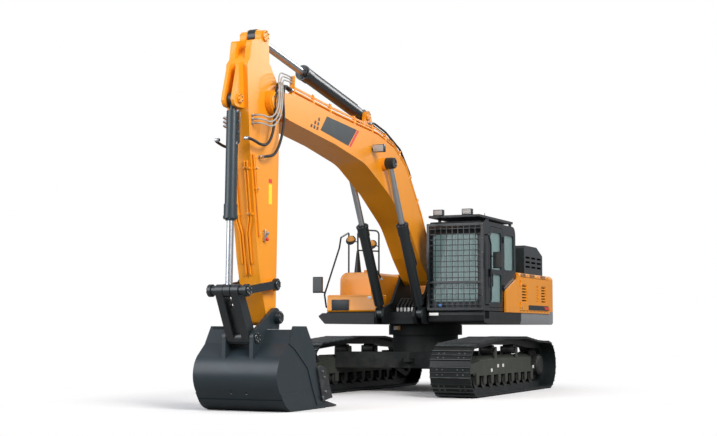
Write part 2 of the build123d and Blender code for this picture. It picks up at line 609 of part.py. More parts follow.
def cab_shell():
    body = slab(cab_profile(), CAB_INSIDE_Y, CAB_OUTSIDE_Y)
    body -= slab(cab_profile(-CAB_WALL), CAB_INSIDE_Y + CAB_WALL, CAB_OUTSIDE_Y - CAB_WALL)
    far = CAB_OUTSIDE_Y + 10
    body -= slab(grown(DOOR_ROWS, MOVE_GAP), CAB_OUTSIDE_Y - CAB_WALL - 5, far)
    body -= slab(REAR_QUARTER, CAB_OUTSIDE_Y - CAB_WALL - 5, far)
    body -= slab(INNER_SIDE, CAB_INSIDE_Y - 5, CAB_INSIDE_Y + CAB_WALL + 5)
    body -= front(FRONT_OPEN, CAB_FRONT - CAB_WALL - 120, CAB_FRONT + 10)
    body -= front(REAR_OPEN, CAB_REAR - 10, CAB_REAR + CAB_WALL + 10)
    for z in DOOR_HINGES:
        body += hinge_pair(DOOR_REAR_X - 20, CAB_OUTSIDE_Y + KNUCKLE, z, 1)[0]
    for x in (CAB_REAR + 130, CAB_FRONT - 130):
        for y in (CAB_INSIDE_Y + 130, CAB_OUTSIDE_Y - 130):
            body += upright(x, y, 60, DECK_TOP + SEAT_GAP, CAB_FLOOR + 5)
    return body


def cab_glass():
    """Panes let into the window openings, with a hair of room at their rubber."""
    mid = CAB_WALL / 2
    quarter = slab(grown(REAR_QUARTER, -SEAT_GAP), CAB_OUTSIDE_Y - mid - GLASS, CAB_OUTSIDE_Y - mid)
    inner = slab(grown(INNER_SIDE, -SEAT_GAP), CAB_INSIDE_Y + mid, CAB_INSIDE_Y + mid + GLASS)
    rear = front(grown(REAR_OPEN, -SEAT_GAP), CAB_REAR + mid, CAB_REAR + mid + GLASS)
    screen = front(grown(FRONT_OPEN, -SEAT_GAP), CAB_FRONT - mid - GLASS, CAB_FRONT - mid)
    return [quarter, inner, rear, screen]


def cab_door():
    door = slab(DOOR_ROWS, CAB_OUTSIDE_Y - CAB_WALL + 5, CAB_OUTSIDE_Y)
    for rows in (DOOR_UPPER, DOOR_LOWER):
        door -= slab(rows, CAB_OUTSIDE_Y - CAB_WALL, CAB_OUTSIDE_Y + 5)
    handle = block((DOOR_FRONT_X - 70, DOOR_FRONT_X - 20), (CAB_OUTSIDE_Y - 1, CAB_OUTSIDE_Y + 30),
                   (2180, 2330))
    for z in DOOR_HINGES:
        handle += hinge_pair(DOOR_REAR_X - 20, CAB_OUTSIDE_Y + KNUCKLE, z, 1)[1]
    mid = CAB_OUTSIDE_Y - CAB_WALL / 2
    panes = [slab(grown(rows, -SEAT_GAP), mid - GLASS, mid) for rows in (DOOR_UPPER, DOOR_LOWER)]
    return door + handle, panes


def seat():
    """Driver's seat, two consoles, levers and floor pedals as one carried set."""
    y = (CAB_INSIDE_Y + CAB_OUTSIDE_Y) / 2
    half = (CAB_OUTSIDE_Y - CAB_INSIDE_Y) / 2 - CAB_WALL
    floor = CAB_FLOOR + CAB_WALL
    base = block((-350, 250), (y - 0.42 * half, y + 0.42 * half), (floor, floor + 300))
    cushion = slab([(-330, floor + 300, 0), (280, floor + 300, 40), (280, floor + 410, 60),
                    (-330, floor + 400, 0)],
                   y - 0.54 * half, y + 0.54 * half)
    back = slab([(-330, floor + 390, 0), (-190, floor + 390, 0), (-300, floor + 1050, 60),
                 (-450, floor + 1050, 60)],
                y - 0.52 * half, y + 0.52 * half)
    rest = slab([(-440, floor + 1045, 0), (-330, floor + 1045, 0), (-350, floor + 1220, 40),
                 (-460, floor + 1220, 40)],
                y - 0.3 * half, y + 0.3 * half)
    console = slab([(-300, floor, 0), (200, floor, 0), (260, floor + 560, 40), (-260, floor + 620, 40)],
                   y + 0.56 * half, y + 0.78 * half)
    other = mirror(console, about=Plane.XZ.offset(-y))
    lever = Pos(180, y + 0.67 * half, floor + 540) * Cylinder(18, 220,
                                                              align=(Align.CENTER, Align.CENTER, Align.MIN))
    pedals = block((560, 640), (y - 150, y + 150), (floor, floor + 180))
    whole = base + cushion + back + rest
    return [whole, console + lever, other + mirror(lever, about=Plane.XZ.offset(-y)), pedals]


def front_guard():
    """Mesh guard on stand-offs in front of the screen."""
    y_low, y_high = CAB_INSIDE_Y + 2, CAB_OUTSIDE_Y + 50
    z_low, z_high = CAB_FLOOR + 5, CAB_ROOF - 50
    x_low = CAB_FRONT + 40
    frame = block((x_low, x_low + 50), (y_low, y_high), (z_low, z_high))
    middle = 2070.0
    frame -= block((x_low - 5, x_low + 55), (y_low + 50, y_high - 50), (z_low + 50, middle - 22))
    frame -= block((x_low - 5, x_low + 55), (y_low + 50, y_high - 50), (middle + 22, z_high - 50))
    for i in range(1, 9):
        y = y_low + 50 + i * (y_high - y_low - 100) / 9
        frame += block((x_low + 18, x_low + 32), (y - 7, y + 7), (z_low + 20, z_high - 20))
    for i in range(1, 16):
        z = z_low + i * (z_high - z_low) / 16
        frame += block((x_low + 18, x_low + 32), (y_low + 20, y_high - 20), (z - 7, z + 7))
    for y in (y_low + 25, CAB_OUTSIDE_Y - 25):
        for z in (z_low + 120, z_high - 320):
            frame += block((CAB_FRONT + SEAT_GAP, x_low + 5), (y - 22, y + 22), (z - 40, z + 40))
    return frame


def roof_guard():
    """Louvred plate over the roof with two lamps at the front."""
    z_low = CAB_ROOF + 60
    y_low, y_high = CAB_INSIDE_Y + 30, CAB_OUTSIDE_Y - 30
    x_low, x_high = CAB_REAR + 60, CAB_FRONT + 60
    guard = block((x_low, x_high), (y_low, y_high), (z_low, z_low + 45))
    guard -= block((x_low + 60, x_high - 60), (y_low + 60, y_high - 60), (z_low - 5, z_low + 50))
    for i in range(9):
        x = x_low + 130 + i * (x_high - x_low - 260) / 8
        guard += slab([(x - 60, z_low, 0), (x - 45, z_low, 0), (x + 60, z_low + 45, 0),
                       (x + 45, z_low + 45, 0)],
                      y_low + 40, y_high - 40)
    for x in (x_low + 100, 700):
        for y in (y_low + 30, y_high - 30):
            guard += block((x - 40, x + 40), (y - 20, y + 20), (CAB_ROOF + SEAT_GAP, z_low + 5))
    for y in (y_low + 110, y_high - 330):
        guard += block((x_high - 55, x_high + 50), (y, y + 190), (z_low + 40, z_low + 150))
    return guard


def left_housing():
    """Side compartment behind the cab with a slanted fin beside the cab's rear corner."""
    return housing(1)


def housing(sign):
    """Side compartment with its door opening; on the left a slanted fin stands beside the cab's rear corner."""
    y_low, y_high = HOUSING_INSIDE_Y, UPPER_HALF_WIDTH + 20
    top, wall = HOOD_TOP, HOUSING_WALL
    outer = front([(y_low, DECK_TOP + SEAT_GAP, 0), (y_high, DECK_TOP + SEAT_GAP, 0), (y_high, top, 70),
                   (y_low, top, 0)], BODY_REAR + 5, HOUSING_FRONT)
    outer -= block((BODY_REAR + 5 + wall, HOUSING_FRONT - wall), (y_low - 5, y_high - wall),
                   (DECK_TOP - 5, top - wall))
    outer -= block((SIDE_DOOR_REAR - MOVE_GAP, SIDE_DOOR_FRONT + MOVE_GAP), (y_high - wall - 20, y_high + 20),
                   (DECK_TOP + 50 - MOVE_GAP, top - 90 + MOVE_GAP))
    for z in SIDE_DOOR_HINGES:
        outer += hinge_pair(SIDE_DOOR_FRONT + 4, y_high + KNUCKLE, z, -1)[0]
    if sign > 0:
        fin = slab([(HOUSING_FRONT - 10, DECK_TOP + SEAT_GAP, 0), (PANEL_FRONT, DECK_TOP + SEAT_GAP, 0),
                    (PANEL_FRONT, 1940, 120), (-850, 2215, 60), (-880, top - 60, 30), (HOUSING_FRONT - 10,
                                                                                       top - 60, 0)],
                   CAB_OUTSIDE_Y + MOVE_GAP + 2, y_high)
        return outer + fin
    return mirror(outer, about=Plane.XZ)


def side_door(sign):
    y_high = UPPER_HALF_WIDTH + 20
    x_low, x_high = SIDE_DOOR_REAR, SIDE_DOOR_FRONT
    door = block((x_low, x_high), (y_high - HOUSING_WALL + 5, y_high), (DECK_TOP + 50, HOOD_TOP - 90))
    length = SIDE_DOOR_FRONT - SIDE_DOOR_REAR
    for share, width in LOUVRES:
        x = SIDE_DOOR_FRONT - share * length
        door -= block((x - width / 2, x + width / 2), (y_high - 12, y_high + 5), (1740, 2100))
        for i in range(6):
            z = 1764 + i * 58
            door -= block((x - width / 2 + 15, x + width / 2 - 15), (y_high - HOUSING_WALL, y_high),
                          (z, z + 26))
    for z in SIDE_DOOR_HINGES:
        door += hinge_pair(SIDE_DOOR_FRONT + 4, y_high + KNUCKLE, z, -1)[1]
    return door if sign > 0 else mirror(door, about=Plane.XZ)


def engine_hood():
    """Hinged lid over the engine bay, carrying the louvred cover."""
    x_low, x_high = BODY_REAR + 60, HOOD_FRONT
    y = HOUSING_INSIDE_Y - MOVE_GAP
    lid = block((x_low, x_high), (-y, y), (HOOD_TOP - 30, HOOD_TOP + 20))
    axis = XZ(HOOD_FRONT + 3, HOOD_TOP + 20 + KNUCKLE)
    for y in LID_HINGES:
        lid += drum(axis, KNUCKLE, y, y + 60)
        lid += block((axis.x - 60, axis.x), (y, y + 60), (HOOD_TOP + 19, axis.z - 4))
    return lid


def deck_cover():
    """Fixed top between the boom bay and the engine hood, and the walls round the engine."""
    y = HOUSING_INSIDE_Y - SEAT_GAP
    top = block((HOOD_FRONT + 5, -900), (-y, y), (HOOD_TOP - 30, HOOD_TOP))
    axis = XZ(HOOD_FRONT + 3, HOOD_TOP + 20 + KNUCKLE)
    for y_hinge in LID_HINGES:
        top += drum(axis, KNUCKLE, y_hinge - 60, y_hinge - PIN_GAP)
        top += block((axis.x, axis.x + 50), (y_hinge - 60, y_hinge - PIN_GAP), (HOOD_TOP - 1, axis.z))
    bulk = block((-940, -900), (-y, y), (DECK_TOP + SEAT_GAP, HOOD_TOP - 20))
    return top + bulk


def intake_box():
    """Louvred dark box on the left housing, sloped to the rear."""
    y_low, y_high = HOUSING_INSIDE_Y + 20, UPPER_HALF_WIDTH - 140
    x_low, x_high = BODY_REAR - 20, HOOD_FRONT - 200
    z_low, z_high = HOOD_TOP + 5 + SEAT_GAP, INTAKE_TOP
    rows = [(x_high, z_low, 0), (x_high, z_high - 60, 0), (x_high - 60, z_high, 0), (x_low + 420, z_high, 0),
            (x_low, z_high - 165, 0), (x_low, z_low, 0)]
    wall = 40
    box = slab(rows, y_low, y_high)
    box -= slab([(x_high - wall, z_low - 5, 0), (x_high - wall, z_high - 100, 0),
                 (x_low + 450, z_high - 60, 0),
                 (x_low + wall, z_high - 220, 0), (x_low + wall, z_low - 5, 0)], y_low + wall, y_high - wall)
    pitch = (x_high - x_low - 120) / 3
    for column in range(3):
        x = x_high - 60 - (column + 0.5) * pitch
        for row in range(3):
            z = z_low + 135 + row * 95
            box -= block((x - 0.37 * pitch, x + 0.37 * pitch), (y_high - wall - 20, y_high + 5), (z, z + 42))
    for i in range(6):
        x = x_high - 140 - i * 0.095 * (x_high - x_low)
        box -= block((x - 70, x), (y_low + 60, y_high - 60), (z_high - 110, z_high + 5))
    box += block((x_high - 140, x_high), (y_low, y_high), (HOOD_TOP + SEAT_GAP, z_low + 1))
    return box


def tank():
    """Fuel and oil tank with rounded shoulders and its filler neck, right side."""
    body = front([(TANK_OUTSIDE_Y, DECK_TOP + SEAT_GAP, 0), (TANK_INSIDE_Y, DECK_TOP + SEAT_GAP, 0),
                  (TANK_INSIDE_Y, TANK_TOP, 60), (TANK_OUTSIDE_Y, TANK_TOP,
                                                  150)], HOUSING_FRONT + 30, TANK_FRONT)
    nose = slab([(TANK_FRONT + 10, DECK_TOP - 10, 0), (TANK_FRONT + 10, TANK_TOP + 10, 0),
                 (TANK_FRONT - 40, TANK_TOP + 10, 0),
                 (TANK_FRONT - 10, 2200, 200), (TANK_FRONT, 1900, 0), (TANK_FRONT, DECK_TOP - 10, 0)],
                TANK_OUTSIDE_Y - 10, TANK_INSIDE_Y + 10)
    return body - nose + upright(250, -1150, 62, TANK_TOP - 10, TANK_TOP + 55)


def toolbox():
    """Front right box, hollow under its lid."""
    outer = slab([(BOX_REAR, DECK_TOP + SEAT_GAP, 0), (BOX_FRONT, DECK_TOP + SEAT_GAP, 40),
                  (BOX_FRONT - 25, BOX_TOP - 40, 0),
                  (BOX_REAR, BOX_TOP - 40, 0)], TANK_OUTSIDE_Y, BOX_INSIDE_Y)
    outer -= block((BOX_REAR + 40, BOX_FRONT - 70), (TANK_OUTSIDE_Y + 40, BOX_INSIDE_Y - 40),
                   (DECK_TOP + 40, BOX_TOP))
    lid = front([(TANK_OUTSIDE_Y, BOX_TOP - 40 + SEAT_GAP, 0), (BOX_INSIDE_Y, BOX_TOP - 40 + SEAT_GAP, 0),
                 (BOX_INSIDE_Y, BOX_TOP, 20), (TANK_OUTSIDE_Y, BOX_TOP, 38)], BOX_REAR + 5, BOX_FRONT - 25)
    axis = XZ(BOX_REAR - 14, BOX_TOP - 44)
    for y in BOX_HINGES:
        outer += drum(axis, 12, y - 50, y - PIN_GAP)
        outer += block((axis.x, BOX_REAR + 2), (y - 50, y - PIN_GAP), (axis.z - 12, axis.z - 2))
        lid += drum(axis, 12, y, y + 50) + block((axis.x, BOX_REAR - 2), (y, y + 50), (axis.z, BOX_TOP - 10))
        lid += block((axis.x, BOX_REAR + 12), (y, y + 50), (BOX_TOP - 30, BOX_TOP - 10))
    return outer, lid


def upright(x, y, radius, z_low, z_high):
    """Vertical cylinder between two heights."""
    return Pos(x, y, z_low) * Cylinder(radius, z_high - z_low, align=(Align.CENTER, Align.CENTER, Align.MIN))


def hinge_pair(x, y, z, toward):
    """Fixed and moving knuckle of a vertical hinge; the moving strap points along X by the sign given."""
    strap = (y - KNUCKLE - 1, y - 4)
    split = PIN_GAP / 2
    fixed = upright(x, y, KNUCKLE, z - 60, z - split)
    fixed += block(sorted((x, x - toward * 42)), strap, (z - 60, z - split))
    moving = upright(x, y, KNUCKLE, z + split, z + 60)
    moving += block(sorted((x, x + toward * 60)), (strap[0] + 3, strap[1]), (z + split, z + 60))
    moving += block(sorted((x + toward * 30, x + toward * 60)), strap, (z + split, z + 60))
    return fixed, moving


def pipe(points, radius, bend):
    """Round tube along straight runs with arcs at the corners."""
    path = FilletPolyline(*points, radius=bend) if len(points) > 2 else Line(*points)
    start = Plane(origin=path @ 0, z_dir=path % 0)
    return sweep(start * Circle(radius), path=path)


def handrails():
    """Rails on the right steps and tank, and the grab rail at the cab door."""
    rail = 17.0
    foot = TANK_OUTSIDE_Y - SEAT_GAP
    out = TANK_OUTSIDE_Y - 42
    step_rail = pipe([(1090, foot, 1620), (1090, out, 1620), (1170, out, 1870), (510, out, 2810),
                      (430, out, 3030),
                      (60, out, 3150), (60, out, 2180), (60, foot, 2180)], rail, 22)
    y_posts = (-1450.0, -985.0)
    frame = pipe([(40, y_posts[0], TANK_TOP + SEAT_GAP), (40, y_posts[0], 3210), (40, y_posts[1], 3170),
                  (40, y_posts[1], TANK_TOP + SEAT_GAP)], rail, 90)
    frame += pipe([(40, y_posts[0], 2790), (40, y_posts[1], 2760)], rail * 0.9, 10)
    boot = Cone(75, 26, 460, align=(Align.CENTER, Align.CENTER, Align.MIN))
    frame += Pos(40, y_posts[0], TANK_TOP + SEAT_GAP) * boot
    side = CAB_OUTSIDE_Y + SEAT_GAP
    cab_rail = pipe([(940, side, 1660), (940, side + 62, 1660), (840, side + 62, 1760),
                     (840, side + 62, 2780),
                     (960, side + 62, 2960), (960, side, 2960)], rail, 22)
    return [step_rail, frame, cab_rail]


def mirrors():
    """Step mirror, two round wide-view mirrors on the tank's frame and the mirror beside the cab door."""
    far = TANK_OUTSIDE_Y - 42
    head = slab([(1195, 1900, 26), (1255, 1900, 26), (1255, 2215, 26), (1195, 2215, 26)], far - 215, far - 22)
    head += pipe([(1140, far - 17 - SEAT_GAP, 1913), (1140, far - 70, 1913), (1225, far - 70, 1990)], 14, 20)
    heads = [head]
    for y_post, z in ((-1450.0, 2960.0), (-985.0, 2860.0)):
        disc = Pos(150, y_post - 105, z + 30) * (Rot(0, 60, 30) * Cylinder(105, 24))
        stalk = pipe([(40 + 17 + SEAT_GAP, y_post, z), (125, y_post, z), (150, y_post - 80, z + 25)], 11, 20)
        heads.append(disc + stalk)
    near = CAB_OUTSIDE_Y + 62 + SEAT_GAP + 17 + SEAT_GAP
    side = slab([(845, 2330, 21), (895, 2330, 21), (895, 2640, 21), (845, 2640, 21)], near + 40, near + 215)
    side += pipe([(868.5, near - 12, 2560), (868.5, near + 60, 2560)], 12, 5)
    return heads + [side]


def exhaust():
    """Exhaust pipe on the right housing with a cut-back mouth."""
    foot = HOOD_TOP + SEAT_GAP
    stack = upright(-2250, -1250, 80, foot, foot + 330) + upright(-2250, -1250, 55, foot + 325, foot + 560)
    mouth = slab([(-2400, foot + 480, 0), (-2100, foot + 570, 0), (-2400, foot + 570, 0)], -1400, -1100)
    return stack - upright(-2250, -1250, 47, foot + 300, foot + 600) - mouth


def valve():
    """Control valve bank on the deck behind the boom's foot."""
    low = DECK_TOP + SEAT_GAP
    bank = block((-800, -300), (-230, 230), (low, VALVE_Z + 130))
    for y in VALVE_Y:
        bank += upright(-360, y, 26, VALVE_Z + 125, VALVE_Z + 200)
        bank += Pos(-300, y, VALVE_Z) * (Rot(0, 90, 0) * Cylinder(24, 60,
                                                                  align=(Align.CENTER, Align.CENTER,
                                                                         Align.MIN)))
    return bank


def foot_hoses():
    """Hoses from the valve bank under the boom's foot to the front of the deck."""
    hoses = []
    for y in VALVE_Y:
        hoses.append(pipe([(-240 + SEAT_GAP, y, VALVE_Z), (-110, y, VALVE_Z), (180, y, VALVE_Z + 90),
                           (760, y, VALVE_Z + 80), (960, y, VALVE_Z - 60), (960, y,
                                                                            DECK_TOP + SEAT_GAP)], 18, 80))
    return hoses


def build_upper():
    save(platform(), "platform")
    save(skirts(), "side_skirts")
    save(counterweight(), "counterweight")
    save(cab_shell(), "cab_shell")
    save(cab_glass(), "cab_glass")
    door, panes = cab_door()
    save(door, "cab_door")
    save(panes, "door_glass")
    save(seat(), "seat_console")
    save(front_guard(), "front_guard")
    save(roof_guard(), "roof_guard")
    save(housing(1), "left_housing")
    save(housing(-1), "right_housing")
    save(side_door(1), "left_side_door")
    save(side_door(-1), "right_side_door")
    save(engine_hood(), "engine_hood")
    save(deck_cover(), "deck_cover")
    save(intake_box(), "intake_box")
    save(tank(), "fuel_tank")
    box, lid = toolbox()
    save(box, "toolbox")
    save(lid, "toolbox_lid")
    save(block((BODY_REAR + 340, HOOD_FRONT - 140), (-500, 500), (DECK_TOP + SEAT_GAP, HOOD_TOP - 150)),
         "engine_block")
    save(handrails(), "handrails")
    save(mirrors(), "mirrors")
    save(exhaust(), "exhaust_stack")
    save(valve(), "control_valve")
    save(foot_hoses(), "foot_hoses")


# Working gear


# Boom outline in shares of the distance from its foot to the arm's pin: underside forward, then back along the top
BOOM_UNDERSIDE = [(0.0121, -0.0216, 0.0087), (0.1084, 0.0120, 0.0435), (0.2122, 0.0615, 0.1742),
                  (0.3683, 0.0851, 0.1742), (0.5257, 0.0911, 0.2177), (0.6979, 0.0544, 0.4355),
                  (0.9317, -0.0085, 0)]
BOOM_TOP = [(0.9411, 0.0578, 0.0087), (0.7229, 0.1210, 0.2903), (0.4819, 0.1975, 0.1306),
            (0.3755, 0.2157, 0.0726), (0.2860, 0.2043, 0.0726), (0.1402, 0.1257, 0.1742),
            (-0.0173, 0.0158, 0.0174)]


def boom():
    """Box beam with foot hub, forked nose, lift cylinder hubs and the crowd cylinder lugs."""
    half = BOOM_WIDTH / 2
    beam = slab(laid(FOOT, ARM_PIN, BOOM_UNDERSIDE + BOOM_TOP), -half, half)
    inside = ARM_WIDTH / 2 + MOVE_GAP + 6
    cheek = link(ARM_PIN, XZ(ARM_PIN.x - 700, ARM_PIN.z - 20), 175, 215, inside, half)
    gap = slab([(ARM_PIN.x - 510, ARM_PIN.z - 600, 0), (ARM_PIN.x + 400, ARM_PIN.z - 600, 0),
                (ARM_PIN.x + 400, ARM_PIN.z + 600, 0), (ARM_PIN.x - 1060, ARM_PIN.z + 600, 0),
                (ARM_PIN.x - 510, ARM_PIN.z - 60, 120)], -inside, inside)
    beam = (beam - gap) + both(cheek)
    foot_gap = BRACKET_INSIDE - PIN_GAP
    beam += drum(FOOT, 150, -foot_gap, foot_gap)
    boss_face = LIFT_Y - LIFT.eye_width / 2 - PIN_GAP
    beam += both(drum(LIFT_EYE, 120, half - 20, boss_face))
    lug_low = CROWD.eye_width / 2 + PIN_GAP
    lug = slab([(CROWD_FOOT.x - 420, CROWD_FOOT.z - 420, 0), (CROWD_FOOT.x + 230, CROWD_FOOT.z - 380, 0),
                (CROWD_FOOT.x + 85, CROWD_FOOT.z + 60, 60), (CROWD_FOOT.x - 110, CROWD_FOOT.z + 90, 80)],
               lug_low, lug_low + 50)
    return beam + both(lug)


def boom_pipes():
    """Pipes along both edges of the boom's top, with clamps and the end plate where the hoses start."""
    corners = [XZ(x, z) for x, z, r in laid(FOOT, ARM_PIN, BOOM_TOP)]
    spots = [on_line(corners[1], corners[0], END_PLATE, [(0, PIPE_HEIGHT, 0)])[0]]
    for i in range(1, 6):
        spots.append(on_line(corners[i + 1], corners[i], 1, [(0, PIPE_HEIGHT, 0)])[0])
    spots.append(on_line(corners[6], corners[5], 0.35, [(0, PIPE_HEIGHT, 0)])[0])
    plate = on_line(corners[1], corners[0], END_PLATE,
                    [(-10, SEAT_GAP, 0), (10, SEAT_GAP, 0), (10, 285, 0), (-10, 285, 0)])
    side = slab(plate, PIPE_Y[0] - 20, PIPE_Y[1] + 24)
    for y in PIPE_Y:
        side += pipe([(x, y, z) for x, z, r in spots], PIPE_RADIUS, 400)
    for i, share in CLAMPS:
        rows = [(-32, SEAT_GAP, 0), (32, SEAT_GAP, 0), (32, PIPE_HEIGHT + 24, 10),
                (-32, PIPE_HEIGHT + 24, 10)]
        side += slab(on_line(corners[i + 1], corners[i], share, rows), PIPE_Y[0] - 22, PIPE_Y[1] + 24)
    return [side, mirror(side, about=Plane.XZ)]


def gear_hoses():
    """Hoses of the left side, from the arm and its cylinder round the arm's pin to the boom's end plate."""
    nose, knee = (XZ(x, z) for x, z, r in laid(FOOT, ARM_PIN, BOOM_TOP[:2]))
    hoses = []
    for radius, bend, plate_y, plate_height, offsets in HOSES:
        points = [(ARM_PIN.x + dx, y, ARM_PIN.z + dz) for dx, y, dz in offsets]
        ends = on_line(knee, nose, END_PLATE, [(130, plate_height, 0), (10 + SEAT_GAP, plate_height, 0)])
        points += [(x, plate_y, z) for x, z, r in ends]
        hoses.append(pipe(points, radius, bend))
    return hoses


def work_lamp():
    """Lamp on the left flank of the boom, facing forward."""
    y = BOOM_WIDTH / 2 + SEAT_GAP
    x, z, r = laid(FOOT, ARM_PIN, [(0.4976, 0.1384, 0)])[0]
    body = Pos(x, y + 75, z) * (Rot(0, 90, 0) * Cylinder(58, 70))
    body += Pos(x - 55, y + 75, z) * (Rot(0, 90, 0) * Cone(30, 52, 45))
    return body + block((x - 40, x), (y, y + 40), (z - 30, z + 30))


def barrel(c):
    """Tube with a closed foot eye and a thicker head, bored for its rod."""
    length = hypot(c.eye.x - c.foot.x, c.eye.z - c.foot.z)
    aim = Vector((c.eye.x - c.foot.x) / length, 0, (c.eye.z - c.foot.z) / length)
    start = Vector(c.foot.x, c.y, c.foot.z)

    def tube(radius, near, far):
        return extrude(Plane(origin=start + aim * near, z_dir=aim) * Circle(radius), amount=far - near)

    eye = drum(c.foot, c.eye_radius, c.y - c.eye_width / 2, c.y + c.eye_width / 2)
    body = eye + tube(min(c.barrel, c.eye_width / 2 - 3), 0, c.eye_radius + 90)
    body += tube(c.barrel, c.eye_radius + 85, c.reach - 20) + tube(c.barrel + 12, c.reach - 230, c.reach - 60)
    body += tube(c.barrel - 14, c.reach - 61, c.reach)
    return body - tube(c.rod + PIN_GAP, c.eye_radius + 100, c.reach + 5)


def rod(c):
    """Plain rod with its eye; the eye keeps its own pin."""
    length = hypot(c.eye.x - c.foot.x, c.eye.z - c.foot.z)
    aim = Vector((c.eye.x - c.foot.x) / length, 0, (c.eye.z - c.foot.z) / length)
    start = Vector(c.foot.x, c.y, c.foot.z)
    tail = c.eye_radius + 120 + c.back
    shaft = extrude(Plane(origin=start + aim * tail, z_dir=aim) * Circle(c.rod), amount=length - tail)
    eye = drum(c.eye, c.eye_radius, c.y - c.eye_width / 2, c.y + c.eye_width / 2)
    return shaft + eye


def lift_rod(c):
    """Lift rods also carry the pin's outer cap."""
    outer = c.y + c.eye_width / 2
    return rod(c) + drum(c.eye, 62, outer - 1, outer + 45)


# Arm outlines in shares: beam from the arm's pin to the bucket's, ears from the arm's pin to each cylinder
ARM_ROWS = [(0.8803, 0.0917, 0.0615), (0.7253, 0.1269, 0), (0.2464, 0.1922, 0),
            (0.0769, 0.2024, 0), (-0.1511, 0.2107, 0.0185), (-0.2643, 0.0903, 0.0185),
            (-0.2100, 0.0243, 0.0246), (-0.0994, -0.0707, 0.0615), (0.0090, -0.0920, 0.0615),
            (0.2702, -0.0809, 0), (0.8998, -0.0446, 0)]
CROWD_EAR = [(0.5285, 0.0713, 0), (0.6316, -0.5231, 0), (0.9341, -0.4145, 0.0603),
             (0.9440, -0.1475, 0.0503)]
CURL_EAR = [(0.6933, 0.6482, 0), (0.7638, -0.1582, 0), (0.9893, -0.1634, 0.0747),
            (1.1619, -0.1358, 0.0872), (1.2079, -0.0193, 0.0747), (0.9581, 0.6213, 0.0623),
            (0.8152, 0.6838, 0)]


def arm():
    """Box beam with the crowd ears at its tail, the bucket cylinder bracket and pin bosses."""
    half = ARM_WIDTH / 2
    beam = slab([(BUCKET_PIN.x - 118, BUCKET_PIN.z - 118, 115), (BUCKET_PIN.x + 105, BUCKET_PIN.z - 118, 100)]
                + laid(ARM_PIN, BUCKET_PIN, ARM_ROWS), -half, half)
    ear_low = CROWD.eye_width / 2 + 17
    ear = slab(laid(ARM_PIN, CROWD_EYE, CROWD_EAR) + [(CROWD_EYE.x + 115, CROWD_EYE.z + 40, 90),
               (CROWD_EYE.x - 20, CROWD_EYE.z + 120, 100), (CROWD_EYE.x - 120, CROWD_EYE.z - 30,
                                                            80)], ear_low, half)
    bracket_low = CURL.eye_width / 2 + PIN_GAP
    bracket = slab(laid(ARM_PIN, CURL_FOOT, CURL_EAR), bracket_low, bracket_low + 50)
    beam += both(ear) + both(bracket)
    beam += both(drum(CROWD_EYE, 110, CROWD.eye_width / 2 + PIN_GAP, ear_low + 5))
    nose = half + MOVE_GAP + 6 - PIN_GAP
    beam += drum(ARM_PIN, 170, -nose, nose)
    beam += drum(BUCKET_PIN, 118, -EAR_INSIDE + PIN_GAP, EAR_INSIDE - PIN_GAP)
    beam += drum(ROCKER_PIN, 100, -ROCKER_INSIDE + PIN_GAP, ROCKER_INSIDE - PIN_GAP)
    return beam


def rocker_links():
    low, high = ROCKER_INSIDE, ROCKER_INSIDE + ROCKER_THICKNESS
    bar = link(ROCKER_PIN, LINK_TOP, 60, 60, low + 6, high - 6)
    bar += drum(ROCKER_PIN, 92, low, high) + drum(LINK_TOP, 92, low, high)
    bar += drum(LINK_TOP, 70, EAR_INSIDE - 8, low + 1)
    return [bar, mirror(bar, about=Plane.XZ)]


def bucket_link():
    """Forked link between the rod's end and the bucket, with a slotted web."""
    low, high = CURL.eye_width / 2 + 12, EAR_INSIDE - 12
    plate = link(LINK_TOP, LINK_LOW, 90, 100, low, high)
    plate += drum(LINK_TOP, 80, CURL.eye_width / 2 + PIN_GAP, EAR_INSIDE - 8 - PIN_GAP)
    web = slab(laid(LINK_TOP, LINK_LOW, [(0.2, -0.04, 0), (0.95, -0.04, 0), (0.95, 0.04, 0), (0.2, 0.04, 0)]),
               -low - 5, low + 5)
    web -= slab(laid(LINK_TOP, LINK_LOW, [(0.26, -0.1, 0), (0.34, -0.1, 0), (0.34, 0.1, 0),
                                          (0.26, 0.1, 0)]), -32, 32)
    return both(plate) + web + drum(LINK_LOW, 100, -EAR_INSIDE + PIN_GAP, EAR_INSIDE - PIN_GAP)


